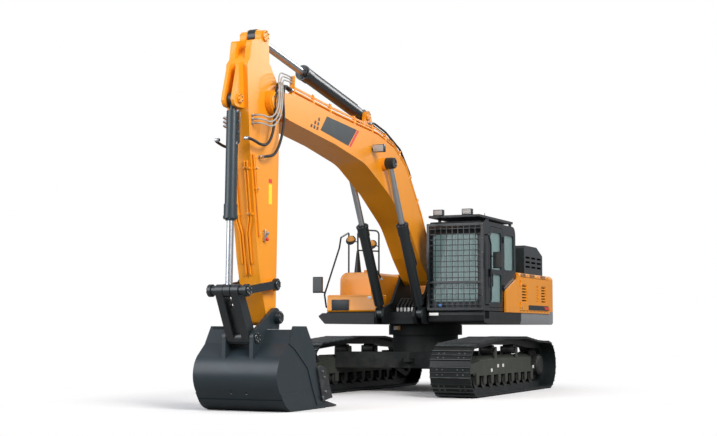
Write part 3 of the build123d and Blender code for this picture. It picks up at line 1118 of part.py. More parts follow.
def bucket():
    """Rolled shell open toward the machine, with raised wear plates, ears and pin bosses."""
    half = BUCKET_WIDTH / 2
    t = BUCKET_SHELL
    floor_front = LIP_FRONT + 80
    back = [(floor_front, 0, 0), (7180, 0, 420), (7600, 600, 380), (7125, 985, 60)]
    edge = [(6300, 890, 0), (6175, 470, 0)]
    outer = slab(back + [(6980, BUCKET_ROOF, 0), (6530, BUCKET_ROOF, 0)] + edge, -half, half)
    heel = slab([(6700, 1, 0), (7196, 1, 420), (7616, 601, 0), (6700, 601, 0)], -half, half)
    outer += heel & block((6600, 7700), (-half, half), (0, 170))
    inner = [(floor_front - 130, t, 0), (7165, t, 390), (7565, 600, 350), (7100, 962, 40),
             (6962, BUCKET_ROOF - t, 0), (6300, BUCKET_ROOF - t, 0)]
    shell = outer - slab(inner, -half + SIDE_PLATE, half - SIDE_PLATE)
    side = slab(back + [(6945, BUCKET_TOP, 0), (6570, BUCKET_TOP, 0)] + edge, half - SIDE_PLATE, half)
    strip = [(floor_front + 20, 60, 0), (6200, 60, 0), (6350, 300, 200), (6510, 610, 200), (6930, 900, 150),
             (7115, 985, 0), (6945, BUCKET_TOP, 0), (6570, BUCKET_TOP, 0)] + edge
    side += slab(strip, half - 1, half + BUCKET_WEAR)
    side += slab([(6380, 3, 0), (7180, 3, 418), (7366, 270, 0), (6450, 270, 0)], half - 1, half + BUCKET_WEAR)
    shell += both(side)
    shell -= block((6480, 6600), (-EAR_INSIDE, EAR_INSIDE), (BUCKET_ROOF - 60, BUCKET_ROOF + 20))
    for y in (-100, 150):
        shell -= Pos(7400, y, 270) * (Rot(0, 90, 0) * Cylinder(20, 400))
    lip = slab([(LIP_FRONT, 0, 0), (LIP_FRONT + 340, 0, 0), (LIP_FRONT + 340, LIP_TOP, 0),
                (LIP_FRONT, LIP_TOP, 0)],
               -half, half)
    low, high = EAR_INSIDE, EAR_INSIDE + EAR_THICKNESS
    ear = link(BUCKET_PIN, LINK_LOW, 145, 115, low, high) + drum(BUCKET_PIN, 95, high - 1, high + 70)
    web = slab([(BUCKET_PIN.x - 110, BUCKET_PIN.z - 60, 0), (BUCKET_PIN.x - 90, BUCKET_ROOF - 2, 0),
                (6965, BUCKET_ROOF - 2, 0), (7100, 965, 0), (7385, 745, 0),
                (LINK_LOW.x + 112, LINK_LOW.z - 20, 0), (LINK_LOW.x + 60, LINK_LOW.z + 60, 0)], low, high)
    return shell + lip + both(ear + web)


def side_cutters():
    """Cutting plates bolted on the front edges of the bucket's sides."""
    low = BUCKET_WIDTH / 2 + BUCKET_WEAR + SEAT_GAP
    plate = slab([(LIP_FRONT + 160, 110, 0), (LIP_FRONT + 350, 620, 40), (LIP_FRONT + 250, 650, 40),
                  (LIP_FRONT + 160, 632, 40), (LIP_FRONT + 50, 575, 60), (LIP_FRONT - 170, 150,
                                                                          0)], low, low + 32)
    return [plate, mirror(plate, about=Plane.XZ)]


def bucket_teeth():
    """Wedge teeth in line along the lip, with side cutters on the plates."""
    reach = BUCKET_WIDTH / 2 - SIDE_PLATE - 5 - TOOTH_WIDTH / 2
    teeth = []
    for i in range(TOOTH_COUNT):
        y = -reach + 2 * reach * i / (TOOTH_COUNT - 1)
        tip = LIP_FRONT - TOOTH_LENGTH
        top = LIP_TOP + SEAT_GAP
        teeth.append(slab([(LIP_FRONT - SEAT_GAP, 3, 0), (LIP_FRONT - SEAT_GAP, top, 0),
                           (LIP_FRONT + 170, top, 0),
                           (LIP_FRONT + 160, top + 25, 0), (LIP_FRONT + 30, top + 65, 40), (LIP_FRONT - 60,
                                                                                            top + 62, 0),
                           (tip, 28, 0), (tip, 6, 0)], y - TOOTH_WIDTH / 2, y + TOOTH_WIDTH / 2))
    return teeth


def build_gear():
    save(boom(), "boom")
    save(boom_pipes(), "boom_pipes")
    save(work_lamp(), "work_lamp")
    near_side = gear_hoses()
    save(near_side + [mirror(hose, about=Plane.XZ) for hose in near_side], "gear_hoses")
    right = LIFT._replace(y=-LIFT_Y)
    save(barrel(LIFT), "lift_barrel_left")
    save(barrel(right), "lift_barrel_right")
    save(lift_rod(LIFT), "lift_rod_left")
    save(mirror(lift_rod(LIFT), about=Plane.XZ), "lift_rod_right")
    save(barrel(CROWD), "crowd_barrel")
    save(rod(CROWD), "crowd_rod")
    save(arm(), "arm")
    save(barrel(CURL), "curl_barrel")
    save(rod(CURL), "curl_rod")
    save(rocker_links(), "rocker_links")
    save(bucket_link(), "bucket_link")
    save(bucket(), "bucket")
    save(bucket_teeth() + side_cutters(), "bucket_teeth")


build_undercarriage()
build_upper()
build_gear()
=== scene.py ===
import bpy
import bmesh
import json
from math import atan2, cos, hypot, pi, radians, sin, tan
from mathutils import Matrix, Vector


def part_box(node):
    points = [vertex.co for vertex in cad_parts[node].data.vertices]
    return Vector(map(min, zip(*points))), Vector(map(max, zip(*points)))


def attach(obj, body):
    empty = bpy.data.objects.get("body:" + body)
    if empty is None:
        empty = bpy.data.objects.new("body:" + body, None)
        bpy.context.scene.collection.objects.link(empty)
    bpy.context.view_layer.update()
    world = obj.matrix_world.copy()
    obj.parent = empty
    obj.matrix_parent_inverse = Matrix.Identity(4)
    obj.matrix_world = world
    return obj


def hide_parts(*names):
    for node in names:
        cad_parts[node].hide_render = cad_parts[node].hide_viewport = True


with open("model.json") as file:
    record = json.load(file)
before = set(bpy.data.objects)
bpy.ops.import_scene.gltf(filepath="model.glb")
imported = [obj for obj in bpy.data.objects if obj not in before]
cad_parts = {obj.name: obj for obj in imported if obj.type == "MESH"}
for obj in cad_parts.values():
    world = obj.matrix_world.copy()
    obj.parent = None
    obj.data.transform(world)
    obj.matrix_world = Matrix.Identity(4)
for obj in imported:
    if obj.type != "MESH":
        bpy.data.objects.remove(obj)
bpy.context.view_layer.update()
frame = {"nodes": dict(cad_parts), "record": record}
nodes = frame["nodes"]
print("frame loaded", len(nodes), "nodes")

# Camera, light and floor
cameraView = {"place": (23.843, 9.486, 1.191), "yaw": 0.4302, "pitch": 0.0859, "roll": 0.0014, "lens": 65.09,
              "clip": 200}
studio = {"world": (0.93, 0.95, 1.0), "skyStrength": 0.52, "groundStrength": 0.14, "horizon": (-0.15, 0.35),
          "backdrop": (1.0, 1.0, 1.0), "floor": (0.94, 0.94, 0.94), "floorHalf": 70,
          "bounce": (0.30, 0.29, 0.28), "fadeShift": (-1.25, 0, 0), "fadeScale": (0.55, 0.9, 0),
          "fadeSpan": (2.6, 4.6), "aim": (1.5, 0, 1.5)}
lights = {"key": {"place": (15.0, 17.0, 13.0), "size": 9.0, "power": 4500.0, "tint": (1.0, 0.97, 0.93)},
          "fill": {"place": (18.0, -9.0, 8.0), "size": 12.0, "power": 1500.0, "tint": (0.93, 0.96, 1.0)},
          "rim": {"place": (-14.0, 8.0, 13.0), "size": 9.0, "power": 1200.0, "tint": (1.0, 1.0, 1.0)}}


def addObject(name, data):
    made = bpy.data.objects.new(name, data)
    bpy.context.scene.collection.objects.link(made)
    return made


def addCamera(view):
    yaw, pitch, turn = view["yaw"], view["pitch"], view["roll"]
    forward = Vector((-cos(yaw) * cos(pitch), -sin(yaw) * cos(pitch), sin(pitch)))
    right = forward.cross(Vector((0, 0, 1))).normalized()
    up = right.cross(forward)
    rightTurned = right * cos(turn) + up * sin(turn)
    upTurned = up * cos(turn) - right * sin(turn)
    data = bpy.data.cameras.new("photoCamera")
    data.lens = view["lens"]
    data.clip_end = view["clip"]
    camera = addObject("photoCamera", data)
    rows = zip(rightTurned, upTurned, -forward, view["place"])
    camera.matrix_world = Matrix((*rows, (0, 0, 0, 1)))
    bpy.context.scene.camera = camera


def addSoftLight(name, light):
    data = bpy.data.lights.new(name, "AREA")
    data.shape = "SQUARE"
    data.size = light["size"]
    data.energy = light["power"]
    data.color = light["tint"]
    lamp = addObject(name, data)
    lamp.location = light["place"]
    lamp.rotation_euler = (Vector(studio["aim"]) - Vector(light["place"])).to_track_quat("-Z", "Y").to_euler()


addCamera(cameraView)
for lightName, lightSettings in lights.items():
    addSoftLight(lightName, lightSettings)
bpy.context.scene.view_settings.view_transform = "Standard"


# Shader helpers
def addNode(tree, kind, **settings):
    node = tree.nodes.new(kind)
    for key, value in settings.items():
        setattr(node, key, value)
    return node


def plug(tree, source, target):
    tree.links.new(source, target)


def mathNode(tree, operation, first, second=None, clamp=False):
    node = addNode(tree, "ShaderNodeMath", operation=operation, use_clamp=clamp)
    for slot, value in zip(node.inputs, (first, second)):
        if value is None:
            continue
        if isinstance(value, (int, float)):
            slot.default_value = value
        else:
            plug(tree, value, slot)
    return node.outputs[0]


def mixColour(tree, factor, first, second):
    node = addNode(tree, "ShaderNodeMix", data_type="RGBA")
    for slot, value in ((node.inputs[0], factor), (node.inputs[6], first), (node.inputs[7], second)):
        if isinstance(value, (int, float)):
            slot.default_value = value
        elif isinstance(value, tuple):
            slot.default_value = (*value[:3], 1)
        else:
            plug(tree, value, slot)
    return node.outputs[2]


def mixShader(tree, factor, first, second):
    node = addNode(tree, "ShaderNodeMixShader")
    for slot, value in zip(node.inputs, (factor, first, second)):
        plug(tree, value, slot)
    return node.outputs[0]


def spread(tree, value, low, high, toLow=0.0, toHigh=1.0):
    node = addNode(tree, "ShaderNodeMapRange", interpolation_type="SMOOTHSTEP")
    plug(tree, value, node.inputs[0])
    for index, amount in enumerate((low, high, toLow, toHigh)):
        node.inputs[index + 1].default_value = amount
    return node.outputs[0]


def splitAxes(tree, vector):
    node = addNode(tree, "ShaderNodeSeparateXYZ")
    plug(tree, vector, node.inputs[0])
    return node.outputs


# Noise of each effect: scale, detail, roughness and, where it runs along the surface, its stretch
noises = {"slow": (0.9, 3, 0.6), "streaks": (5.0, 4, 0.6, (1.0, 1.0, 0.12)), "cloud": (7.0, 5, 0.65),
          "fine": (320.0, 2, 0.5), "patches": (3.2, 5, 0.62), "scratches": (26.0, 4, 0.7, (0.10, 1.0, 1.0)),
          "rust": (9.0, 6, 0.7), "pits": (90.0, 4, 0.6), "smear": (4.0, 4, 0.6), "floor": (0.4, 2, 0.5)}


def noiseAt(tree, vector, effect):
    scale, detail, rough, *stretch = noises[effect]
    if stretch:
        mapping = addNode(tree, "ShaderNodeMapping")
        mapping.inputs["Scale"].default_value = stretch[0]
        plug(tree, vector, mapping.inputs["Vector"])
        vector = mapping.outputs[0]
    node = addNode(tree, "ShaderNodeTexNoise")
    plug(tree, vector, node.inputs["Vector"])
    for label, value in (("Scale", scale), ("Detail", detail), ("Roughness", rough)):
        node.inputs[label].default_value = value
    return node.outputs[0]


def startGroup(kind, name, inputs, outputs):
    tree = bpy.data.node_groups.new(name, kind)
    for label, socketKind, value in inputs:
        socket = tree.interface.new_socket(label, in_out="INPUT", socket_type="NodeSocket" + socketKind)
        if value is not None:
            socket.default_value = value
    for label, socketKind in outputs:
        tree.interface.new_socket(label, in_out="OUTPUT", socket_type="NodeSocket" + socketKind)
    return tree, addNode(tree, "NodeGroupInput").outputs, addNode(tree, "NodeGroupOutput").inputs


# The surroundings are white where the camera sees them and a little dimmer where they light the machine
def addWorld():
    world = bpy.data.worlds.new("studio")
    world.use_nodes = True
    tree = world.node_tree
    light = tree.nodes["Background"]
    light.inputs["Color"].default_value = (*studio["world"], 1)
    height = splitAxes(tree, addNode(tree, "ShaderNodeTexCoord").outputs["Generated"])[2]
    plug(tree, spread(tree, height, *studio["horizon"], studio["groundStrength"], studio["skyStrength"]),
         light.inputs["Strength"])
    seen = addNode(tree, "ShaderNodeBackground")
    seen.inputs["Color"].default_value = (*studio["backdrop"], 1)
    cameraRay = addNode(tree, "ShaderNodeLightPath").outputs["Is Camera Ray"]
    surface = tree.nodes["World Output"].inputs["Surface"]
    plug(tree, mixShader(tree, cameraRay, light.outputs[0], seen.outputs[0]), surface)
    bpy.context.scene.world = world


addWorld()
print("camera and light")


# Slow fading, rain streaks, dust that settles near the ground, and the fine peel of sprayed paint
def buildWeathering():
    tree, given, put = startGroup("ShaderNodeTree", "weathering", [
        ("Place", "Vector", None), ("Colour", "Color", (0.8, 0.8, 0.8, 1)),
        ("Faded", "Color", (0.8, 0.8, 0.8, 1)), ("Dust", "Color", (0.3, 0.27, 0.22, 1)),
        ("Dust Amount", "Float", 0.3), ("Dust Height", "Float", 1.4),
        ("Roughness", "Float", 0.4), ("Peel", "Float", 0.3)],
        [("Colour", "Color"), ("Roughness", "Float"), ("Height", "Float")])
    place = given["Place"]
    streaks = noiseAt(tree, place, "streaks")
    slowFade = spread(tree, noiseAt(tree, place, "slow"), 0.42, 0.75, 0, 0.6)
    fade = mathNode(tree, "ADD", slowFade, spread(tree, streaks, 0.5, 0.8, 0, 0.4))
    aged = mixColour(tree, fade, given["Colour"], given["Faded"])
    height = splitAxes(tree, place)[2]
    lowness = mathNode(tree, "SUBTRACT", 1.0, mathNode(tree, "DIVIDE", height, given["Dust Height"]), True)
    cloud = spread(tree, noiseAt(tree, place, "cloud"), 0.35, 0.72)
    dust = mathNode(tree, "MULTIPLY", mathNode(tree, "MULTIPLY", lowness, cloud), given["Dust Amount"], True)
    plug(tree, mixColour(tree, dust, aged, given["Dust"]), put["Colour"])
    streakShine = mathNode(tree, "MULTIPLY", mathNode(tree, "SUBTRACT", streaks, 0.5), 0.16)
    shine = mathNode(tree, "ADD", given["Roughness"], streakShine)
    plug(tree, mathNode(tree, "ADD", shine, mathNode(tree, "MULTIPLY", dust, 0.4), True), put["Roughness"])
    plug(tree, mathNode(tree, "MULTIPLY", noiseAt(tree, place, "fine"), given["Peel"]), put["Height"])
    return tree


# Scuffed bare steel: dark scale, rubbed bright patches, rust in the hollows and long scratches
def buildScuffs():
    tree, given, put = startGroup("ShaderNodeTree", "scuffs", [
        ("Place", "Vector", None), ("Scale Colour", "Color", (0.03, 0.035, 0.04, 1)),
        ("Rubbed", "Color", (0.25, 0.26, 0.27, 1)), ("Rust", "Color", (0.10, 0.05, 0.025, 1)),
        ("Rubbed Amount", "Float", 0.3), ("Rust Amount", "Float", 0.2), ("Roughness", "Float", 0.5),
        ("Pitting", "Float", 0.5)],
        [("Colour", "Color"), ("Roughness", "Float"), ("Metallic", "Float"), ("Height", "Float")])
    place = given["Place"]
    patches = spread(tree, noiseAt(tree, place, "patches"), 0.45, 0.68)
    scratches = spread(tree, noiseAt(tree, place, "scratches"), 0.60, 0.72)
    rubbed = mathNode(tree, "MULTIPLY", patches, given["Rubbed Amount"])
    lines = mathNode(tree, "MULTIPLY", scratches, given["Rubbed Amount"])
    bright = mathNode(tree, "ADD", rubbed, lines, True)
    hollows = spread(tree, noiseAt(tree, place, "rust"), 0.5, 0.75)
    rust = mathNode(tree, "MULTIPLY", hollows, given["Rust Amount"])
    base = mixColour(tree, bright, given["Scale Colour"], given["Rubbed"])
    plug(tree, mixColour(tree, rust, base, given["Rust"]), put["Colour"])
    rough = mathNode(tree, "ADD", given["Roughness"], mathNode(tree, "MULTIPLY", rust, 0.5))
    plug(tree, mathNode(tree, "SUBTRACT", rough, mathNode(tree, "MULTIPLY", bright, 0.2), True),
         put["Roughness"])
    bare = mathNode(tree, "SUBTRACT", bright, rust)
    plug(tree, mathNode(tree, "MULTIPLY", bare, 0.9, True), put["Metallic"])
    plug(tree, mathNode(tree, "MULTIPLY", noiseAt(tree, place, "pits"), given["Pitting"]), put["Height"])
    return tree


weathering = buildWeathering()
scuffs = buildScuffs()


def emptyMaterial(name):
    material = bpy.data.materials.new(name)
    material.use_nodes = True
    tree = material.node_tree
    place = addNode(tree, "ShaderNodeTexCoord").outputs["Object"]
    return material, tree, tree.nodes["Principled BSDF"], place


def placeGroup(tree, group, place, values):
    node = addNode(tree, "ShaderNodeGroup", node_tree=group)
    plug(tree, place, node.inputs["Place"])
    for label, value in values.items():
        if isinstance(value, bpy.types.NodeSocket):
            plug(tree, value, node.inputs[label])
        else:
            node.inputs[label].default_value = (*value, 1) if isinstance(value, tuple) else value
    return node.outputs


def setInputs(shader, values):
    for label, value in values.items():
        shader.inputs[label].default_value = value


def relief(tree, shader, height, distance):
    bump = addNode(tree, "ShaderNodeBump")
    setInputs(bump, {"Distance": distance, "Strength": 1.0})
    plug(tree, height, bump.inputs["Height"])
    plug(tree, bump.outputs[0], shader.inputs["Normal"])


def zoneMask(tree, place, axis, edge, soft=0.004):
    return spread(tree, splitAxes(tree, place)["XYZ".index(axis)], edge - soft, edge + soft)


# What a finish has unless its row says otherwise; a zone is an axis, an edge and the colours below it
paintUsual = {"dust": (0.30, 0.27, 0.22), "dustAmount": 0.35, "dustHeight": 1.4, "peel": 0.3, "metallic": 0.0,
              "coat": 0.0, "gleam": 0.5, "coatRoughness": 0.12, "relief": 0.0006}
steelUsual = {"rust": (0.10, 0.05, 0.025), "pitting": 0.5, "relief": 0.0015}


def paintMaterial(name, own):
    paint = {**paintUsual, **own}
    material, tree, shader, place = emptyMaterial(name)
    colour, faded = paint["colour"], paint["faded"]
    if "zone" in paint:
        axis, edge, below, belowFaded = paint["zone"]
        above = zoneMask(tree, place, axis, edge)
        colour = mixColour(tree, above, below, colour)
        faded = mixColour(tree, above, belowFaded, faded)
    out = placeGroup(tree, weathering, place, {
        "Colour": colour, "Faded": faded, "Dust": paint["dust"], "Dust Amount": paint["dustAmount"],
        "Dust Height": paint["dustHeight"], "Roughness": paint["roughness"], "Peel": paint["peel"]})
    plug(tree, out["Colour"], shader.inputs["Base Color"])
    plug(tree, out["Roughness"], shader.inputs["Roughness"])
    setInputs(shader, {"Metallic": paint["metallic"], "Coat Weight": paint["coat"],
                       "Coat Roughness": paint["coatRoughness"], "Specular IOR Level": paint["gleam"]})
    relief(tree, shader, out["Height"], paint["relief"])
    return material


def steelMaterial(name, own):
    steel = {**steelUsual, **own}
    material, tree, shader, place = emptyMaterial(name)
    out = placeGroup(tree, scuffs, place, {
        "Scale Colour": steel["scale"], "Rubbed": steel["rubbed"], "Rust": steel["rust"],
        "Rubbed Amount": steel["rubbedAmount"], "Rust Amount": steel["rustAmount"],
        "Roughness": steel["roughness"], "Pitting": steel["pitting"]})
    plug(tree, out["Colour"], shader.inputs["Base Color"])
    plug(tree, out["Roughness"], shader.inputs["Roughness"])
    plug(tree, out["Metallic"], shader.inputs["Metallic"])
    relief(tree, shader, out["Height"], steel["relief"])
    return material


grey, greyFaded = (0.26, 0.27, 0.285), (0.21, 0.22, 0.23)
orange, orangeFaded = (0.90, 0.325, 0.008), (0.84, 0.29, 0.010)
paints = {
    "orangePaint": {"colour": orange, "faded": orangeFaded, "roughness": 0.36, "coat": 0.2,
                    "dustAmount": 0.10, "dustHeight": 2.2},
    "blackPaint": {"colour": (0.010, 0.015, 0.018), "faded": (0.016, 0.022, 0.026), "roughness": 0.34,
                   "coat": 0.35, "dustAmount": 0.22},
    "slatePaint": {"colour": (0.026, 0.042, 0.052), "faded": (0.034, 0.050, 0.060), "roughness": 0.36,
                   "coat": 0.2, "dustAmount": 0.1},
    "cabPaint": {"colour": (0.009, 0.013, 0.016), "faded": (0.015, 0.020, 0.024), "roughness": 0.30,
                 "coat": 0.25, "gleam": 0.35, "dustAmount": 0.08},
    "chassisPaint": {"colour": (0.009, 0.012, 0.013), "faded": (0.015, 0.018, 0.018), "roughness": 0.5,
                     "gleam": 0.25, "dust": (0.12, 0.11, 0.09), "dustAmount": 0.25, "dustHeight": 1.3},
    "olivePaint": {"colour": (0.042, 0.048, 0.040), "faded": (0.064, 0.070, 0.058), "roughness": 0.48,
                   "gleam": 0.3, "dust": (0.14, 0.14, 0.12), "dustAmount": 0.25, "dustHeight": 1.2},
    "skirtPaint": {"colour": (0.014, 0.016, 0.018), "faded": (0.022, 0.024, 0.026), "roughness": 0.40,
                   "gleam": 0.4, "zone": ("X", -1.09, grey, greyFaded), "dustAmount": 0.15},
    "weightPaint": {"colour": orange, "faded": orangeFaded, "roughness": 0.38, "coat": 0.3,
                    "zone": ("Z", 1.575, grey, greyFaded), "dustAmount": 0.1},
    "enginePaint": {"colour": (0.22, 0.23, 0.24), "faded": (0.16, 0.165, 0.17), "roughness": 0.5,
                    "dustAmount": 0.1},
    "silverPlate": {"colour": (0.55, 0.56, 0.58), "faded": (0.45, 0.46, 0.48), "roughness": 0.35,
                    "metallic": 0.9},
    "whitePlate": {"colour": (0.85, 0.85, 0.84), "faded": (0.75, 0.75, 0.74), "roughness": 0.4},
    "yellowPlate": {"colour": (0.90, 0.72, 0.03), "faded": (0.85, 0.66, 0.05), "roughness": 0.4},
    "redStripe": {"colour": (0.72, 0.035, 0.03), "faded": (0.62, 0.05, 0.04), "roughness": 0.38},
    # Dark plate for marks and print, and also the painted shade of the slots over the side doors
    "markAndShadePlate": {"colour": (0.016, 0.024, 0.028), "faded": (0.024, 0.032, 0.036), "roughness": 0.42},
    "darkPlate": {"colour": (0.022, 0.026, 0.030), "faded": (0.030, 0.034, 0.038), "roughness": 0.45},
    "hoseRubber": {"colour": (0.014, 0.015, 0.016), "faded": (0.03, 0.03, 0.03), "roughness": 0.6},
    "paleHose": {"colour": (0.42, 0.43, 0.42), "faded": (0.33, 0.34, 0.33), "roughness": 0.5},
    "rodChrome": {"colour": (0.60, 0.63, 0.67), "faded": (0.55, 0.58, 0.62), "roughness": 0.33,
                  "metallic": 1.0, "dustAmount": 0.0, "peel": 0.02},
    "tealPad": {"colour": (0.030, 0.165, 0.155), "faded": (0.045, 0.19, 0.18), "roughness": 0.7},
    "blueTag": {"colour": (0.05, 0.20, 0.55), "faded": (0.07, 0.22, 0.50), "roughness": 0.4},
    "mirrorOrange": {"colour": (0.85, 0.36, 0.03), "faded": (0.78, 0.32, 0.03), "roughness": 0.3},
    "capGreen": {"colour": (0.03, 0.30, 0.09), "faded": (0.05, 0.28, 0.10), "roughness": 0.4},
}
steels = {
    "shoeSteel": {"scale": (0.007, 0.011, 0.012), "rubbed": (0.07, 0.08, 0.085), "rubbedAmount": 0.15,
                  "rustAmount": 0.05, "roughness": 0.45},
    "bucketSteel": {"scale": (0.019, 0.030, 0.038), "rubbed": (0.060, 0.080, 0.092), "rubbedAmount": 0.25,
                    "rustAmount": 0.04, "roughness": 0.38},
    # Pale rubbed steel of the grouser tips: wear, and a painted highlight along their edges
    "rubbedHighlightSteel": {"scale": (0.10, 0.11, 0.115), "rubbed": (0.34, 0.35, 0.36), "rubbedAmount": 0.9,
                    "rustAmount": 0.05, "roughness": 0.4},
    "toothSteel": {"scale": (0.025, 0.028, 0.032), "rubbed": (0.22, 0.22, 0.22), "rubbedAmount": 0.4,
                   "rustAmount": 0.12, "roughness": 0.42},
    "rollerSteel": {"scale": (0.020, 0.022, 0.021), "rubbed": (0.20, 0.20, 0.20), "rubbedAmount": 0.25,
                    "rustAmount": 0.1, "roughness": 0.45},
    "boltSteel": {"scale": (0.10, 0.105, 0.11), "rubbed": (0.40, 0.40, 0.41), "rubbedAmount": 0.4,
                  "rustAmount": 0.05, "roughness": 0.35},
}
finishes = {name: paintMaterial(name, paint) for name, paint in paints.items()}
finishes.update({name: steelMaterial(name, steel) for name, steel in steels.items()})
glasses = {"cabGlass": {"tint": (0.42, 0.63, 0.63), "roughness": 0.05, "clearness": 0.55},
           "lampGlass": {"tint": (0.85, 0.88, 0.90), "roughness": 0.12, "clearness": 0.5}}
cloth = {"thread": (0.035, 0.036, 0.04), "gap": (0.01, 0.01, 0.012), "scale": 120, "relief": 0.001}


# Glass with a faint smear
def glassMaterial(name, glass):
    material, tree, shader, place = emptyMaterial(name)
    smear = noiseAt(tree, place, "smear")
    tinted = mixColour(tree, spread(tree, smear, 0.4, 0.8, 0, 0.3), glass["tint"], (0.55, 0.62, 0.60))
    plug(tree, tinted, shader.inputs["Base Color"])
    rough = glass["roughness"]
    plug(tree, spread(tree, smear, 0.4, 0.8, rough, rough + 0.08), shader.inputs["Roughness"])
    setInputs(shader, {"Transmission Weight": glass["clearness"], "IOR": 1.45})
    return material


def clothMaterial(name):
    material, tree, shader, place = emptyMaterial(name)
    weave = addNode(tree, "ShaderNodeTexBrick")
    plug(tree, place, weave.inputs["Vector"])
    setInputs(weave, {"Scale": cloth["scale"], "Color1": (*cloth["thread"], 1), "Mortar": (*cloth["gap"], 1),
                      "Color2": (*[c * 1.3 for c in cloth["thread"]], 1)})
    plug(tree, weave.outputs["Color"], shader.inputs["Base Color"])
    setInputs(shader, {"Roughness": 0.85, "Sheen Weight": 0.3})
    relief(tree, shader, weave.outputs["Fac"], cloth["relief"])
    return material


finishes.update({name: glassMaterial(name, glass) for name, glass in glasses.items()})
finishes["seatCloth"] = clothMaterial("seatCloth")
print("materials", len(finishes))

# Every node of the frame takes one finish
nodeFinish = {
    "orangePaint": "boom arm left_housing right_housing left_side_door right_side_door engine_hood "
                   "deck_cover fuel_tank toolbox toolbox_lid boom_pipes",
    "blackPaint": "lift_barrel_left lift_barrel_right crowd_barrel rocker_links bucket_link handrails "
                  "front_guard roof_guard intake_box exhaust_stack control_valve mirrors work_lamp",
    "slatePaint": "curl_barrel", "cabPaint": "cab_shell cab_door",
    "chassisPaint": "center_frame platform slew_ring", "olivePaint": "track_frame_left track_frame_right",
    "skirtPaint": "side_skirts", "weightPaint": "counterweight", "enginePaint": "engine_block",
    "rodChrome": "lift_rod_left lift_rod_right crowd_rod curl_rod",
    "rollerSteel": "track_rollers_left track_rollers_right idler_left idler_right sprocket_left "
                   "sprocket_right",
    "shoeSteel": "track_left track_right", "bucketSteel": "bucket", "toothSteel": "bucket_teeth",
    "cabGlass": "cab_glass door_glass", "seatCloth": "seat_console", "hoseRubber": "gear_hoses foot_hoses",
}
for finishName, nodeNames in nodeFinish.items():
    for nodeName in nodeNames.split():
        nodes[nodeName].data.materials.clear()
        nodes[nodeName].data.materials.append(finishes[finishName])
print("finishes set; bare nodes:", sorted(set(nodes) - set(" ".join(nodeFinish.values()).split())))

# Mesh helpers: every piece is one bmesh, closed by finishPiece
bodyOf = {member: body
          for body, members in frame["record"]["behaviour"]["bodies"].items() for member in members}
bothSides = (1, -1)
smoothAngle = 32


# A piece starts as an empty bmesh with its finishes numbered by name, and takes its materials in that order
def startPiece(*materials):
    return bmesh.new(), {name: number for number, name in enumerate(materials)}


def finishPiece(name, bm, materials, body, stands=(), weighted=False):
    mesh = bpy.data.meshes.new(name)
    bm.to_mesh(mesh)
    bm.free()
    for material in materials:
        mesh.materials.append(finishes[material])
    mesh.polygons.foreach_set("use_smooth", [True] * len(mesh.polygons))
    mesh.set_sharp_from_angle(angle=radians(smoothAngle))
    piece = addObject(name, mesh)
    if weighted:
        weigh = piece.modifiers.new("weighted", "WEIGHTED_NORMAL")
        weigh.keep_sharp = True
        graph = bpy.context.evaluated_depsgraph_get()
        piece.data = bpy.data.meshes.new_from_object(piece.evaluated_get(graph), depsgraph=graph)
        piece.modifiers.clear()
    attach(piece, body)
    if stands:
        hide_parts(*stands)
    return piece


def roundEdges(bm, edges, width, segments=2):
    return bmesh.ops.bevel(bm, geom=edges, offset=width, offset_type="OFFSET", segments=segments, profile=0.5,
                           affect="EDGES", clamp_overlap=True)["faces"]


def paintFaces(faces, material):
    for face in faces:
        face.material_index = material
    return faces


# Pins in metres, as the frame has them, and the half widths of the flat flanks
pins = {"foot": (0.330, 2.200), "armPin": (6.780, 4.620), "bucketPin": (6.680, 1.370),
        "rocker": (6.760, 1.860), "linkTop": (7.640, 1.750), "linkLow": (7.270, 1.070),
        "curlFoot": (7.580, 4.550), "liftEye": (2.720, 4.150), "liftFoot": (1.250, 1.500),
        "crowdFoot": (3.050, 4.980), "crowdEye": (6.950, 5.600)}
halfWidth = {"boom": 0.280, "arm": 0.180, "upper": 1.640, "trackFrame": 1.665}

# Rounded copies of the frame's nodes: width and segments of the rounding, and the angle it starts from
softEdges = {"boom": (0.007, 2, 40), "arm": (0.007, 2, 40), "bucket": (0.005, 2, 35),
             "counterweight": (0.016, 3, 40), "left_housing": (0.010, 3, 40), "right_housing": (0.010, 3, 40),
             "left_side_door": (0.006, 2, 40), "right_side_door": (0.006, 2, 40),
             "engine_hood": (0.014, 3, 40), "deck_cover": (0.010, 2, 40), "fuel_tank": (0.012, 3, 40),
             "toolbox": (0.008, 2, 40), "toolbox_lid": (0.006, 2, 40), "cab_shell": (0.008, 2, 40),
             "cab_door": (0.005, 2, 40), "front_guard": (0.0015, 1, 50), "roof_guard": (0.004, 1, 40),
             "intake_box": (0.008, 2, 40), "platform": (0.006, 2, 40), "side_skirts": (0.008, 2, 40),
             "track_frame_left": (0.006, 2, 40), "track_frame_right": (0.006, 2, 40),
             "center_frame": (0.008, 2, 40), "slew_ring": (0.004, 1, 40), "rocker_links": (0.005, 2, 40),
             "bucket_link": (0.005, 2, 40), "lift_barrel_left": (0.004, 2, 40),
             "lift_barrel_right": (0.004, 2, 40), "crowd_barrel": (0.004, 2, 40),
             "curl_barrel": (0.004, 2, 40), "lift_rod_left": (0.003, 2, 40), "lift_rod_right": (0.003, 2, 40),
             "crowd_rod": (0.003, 2, 40), "curl_rod": (0.003, 2, 40), "idler_left": (0.005, 2, 40),
             "idler_right": (0.005, 2, 40), "sprocket_left": (0.003, 1, 40), "sprocket_right": (0.003, 1, 40),
             "track_rollers_left": (0.003, 1, 40), "track_rollers_right": (0.003, 1, 40),
             "track_left": (0.004, 1, 30), "track_right": (0.004, 1, 30), "bucket_teeth": (0.008, 2, 30),
             "exhaust_stack": (0.004, 2, 40), "mirrors": (0.006, 2, 40), "control_valve": (0.004, 1, 40),
             "engine_block": (0.02, 2, 40)}
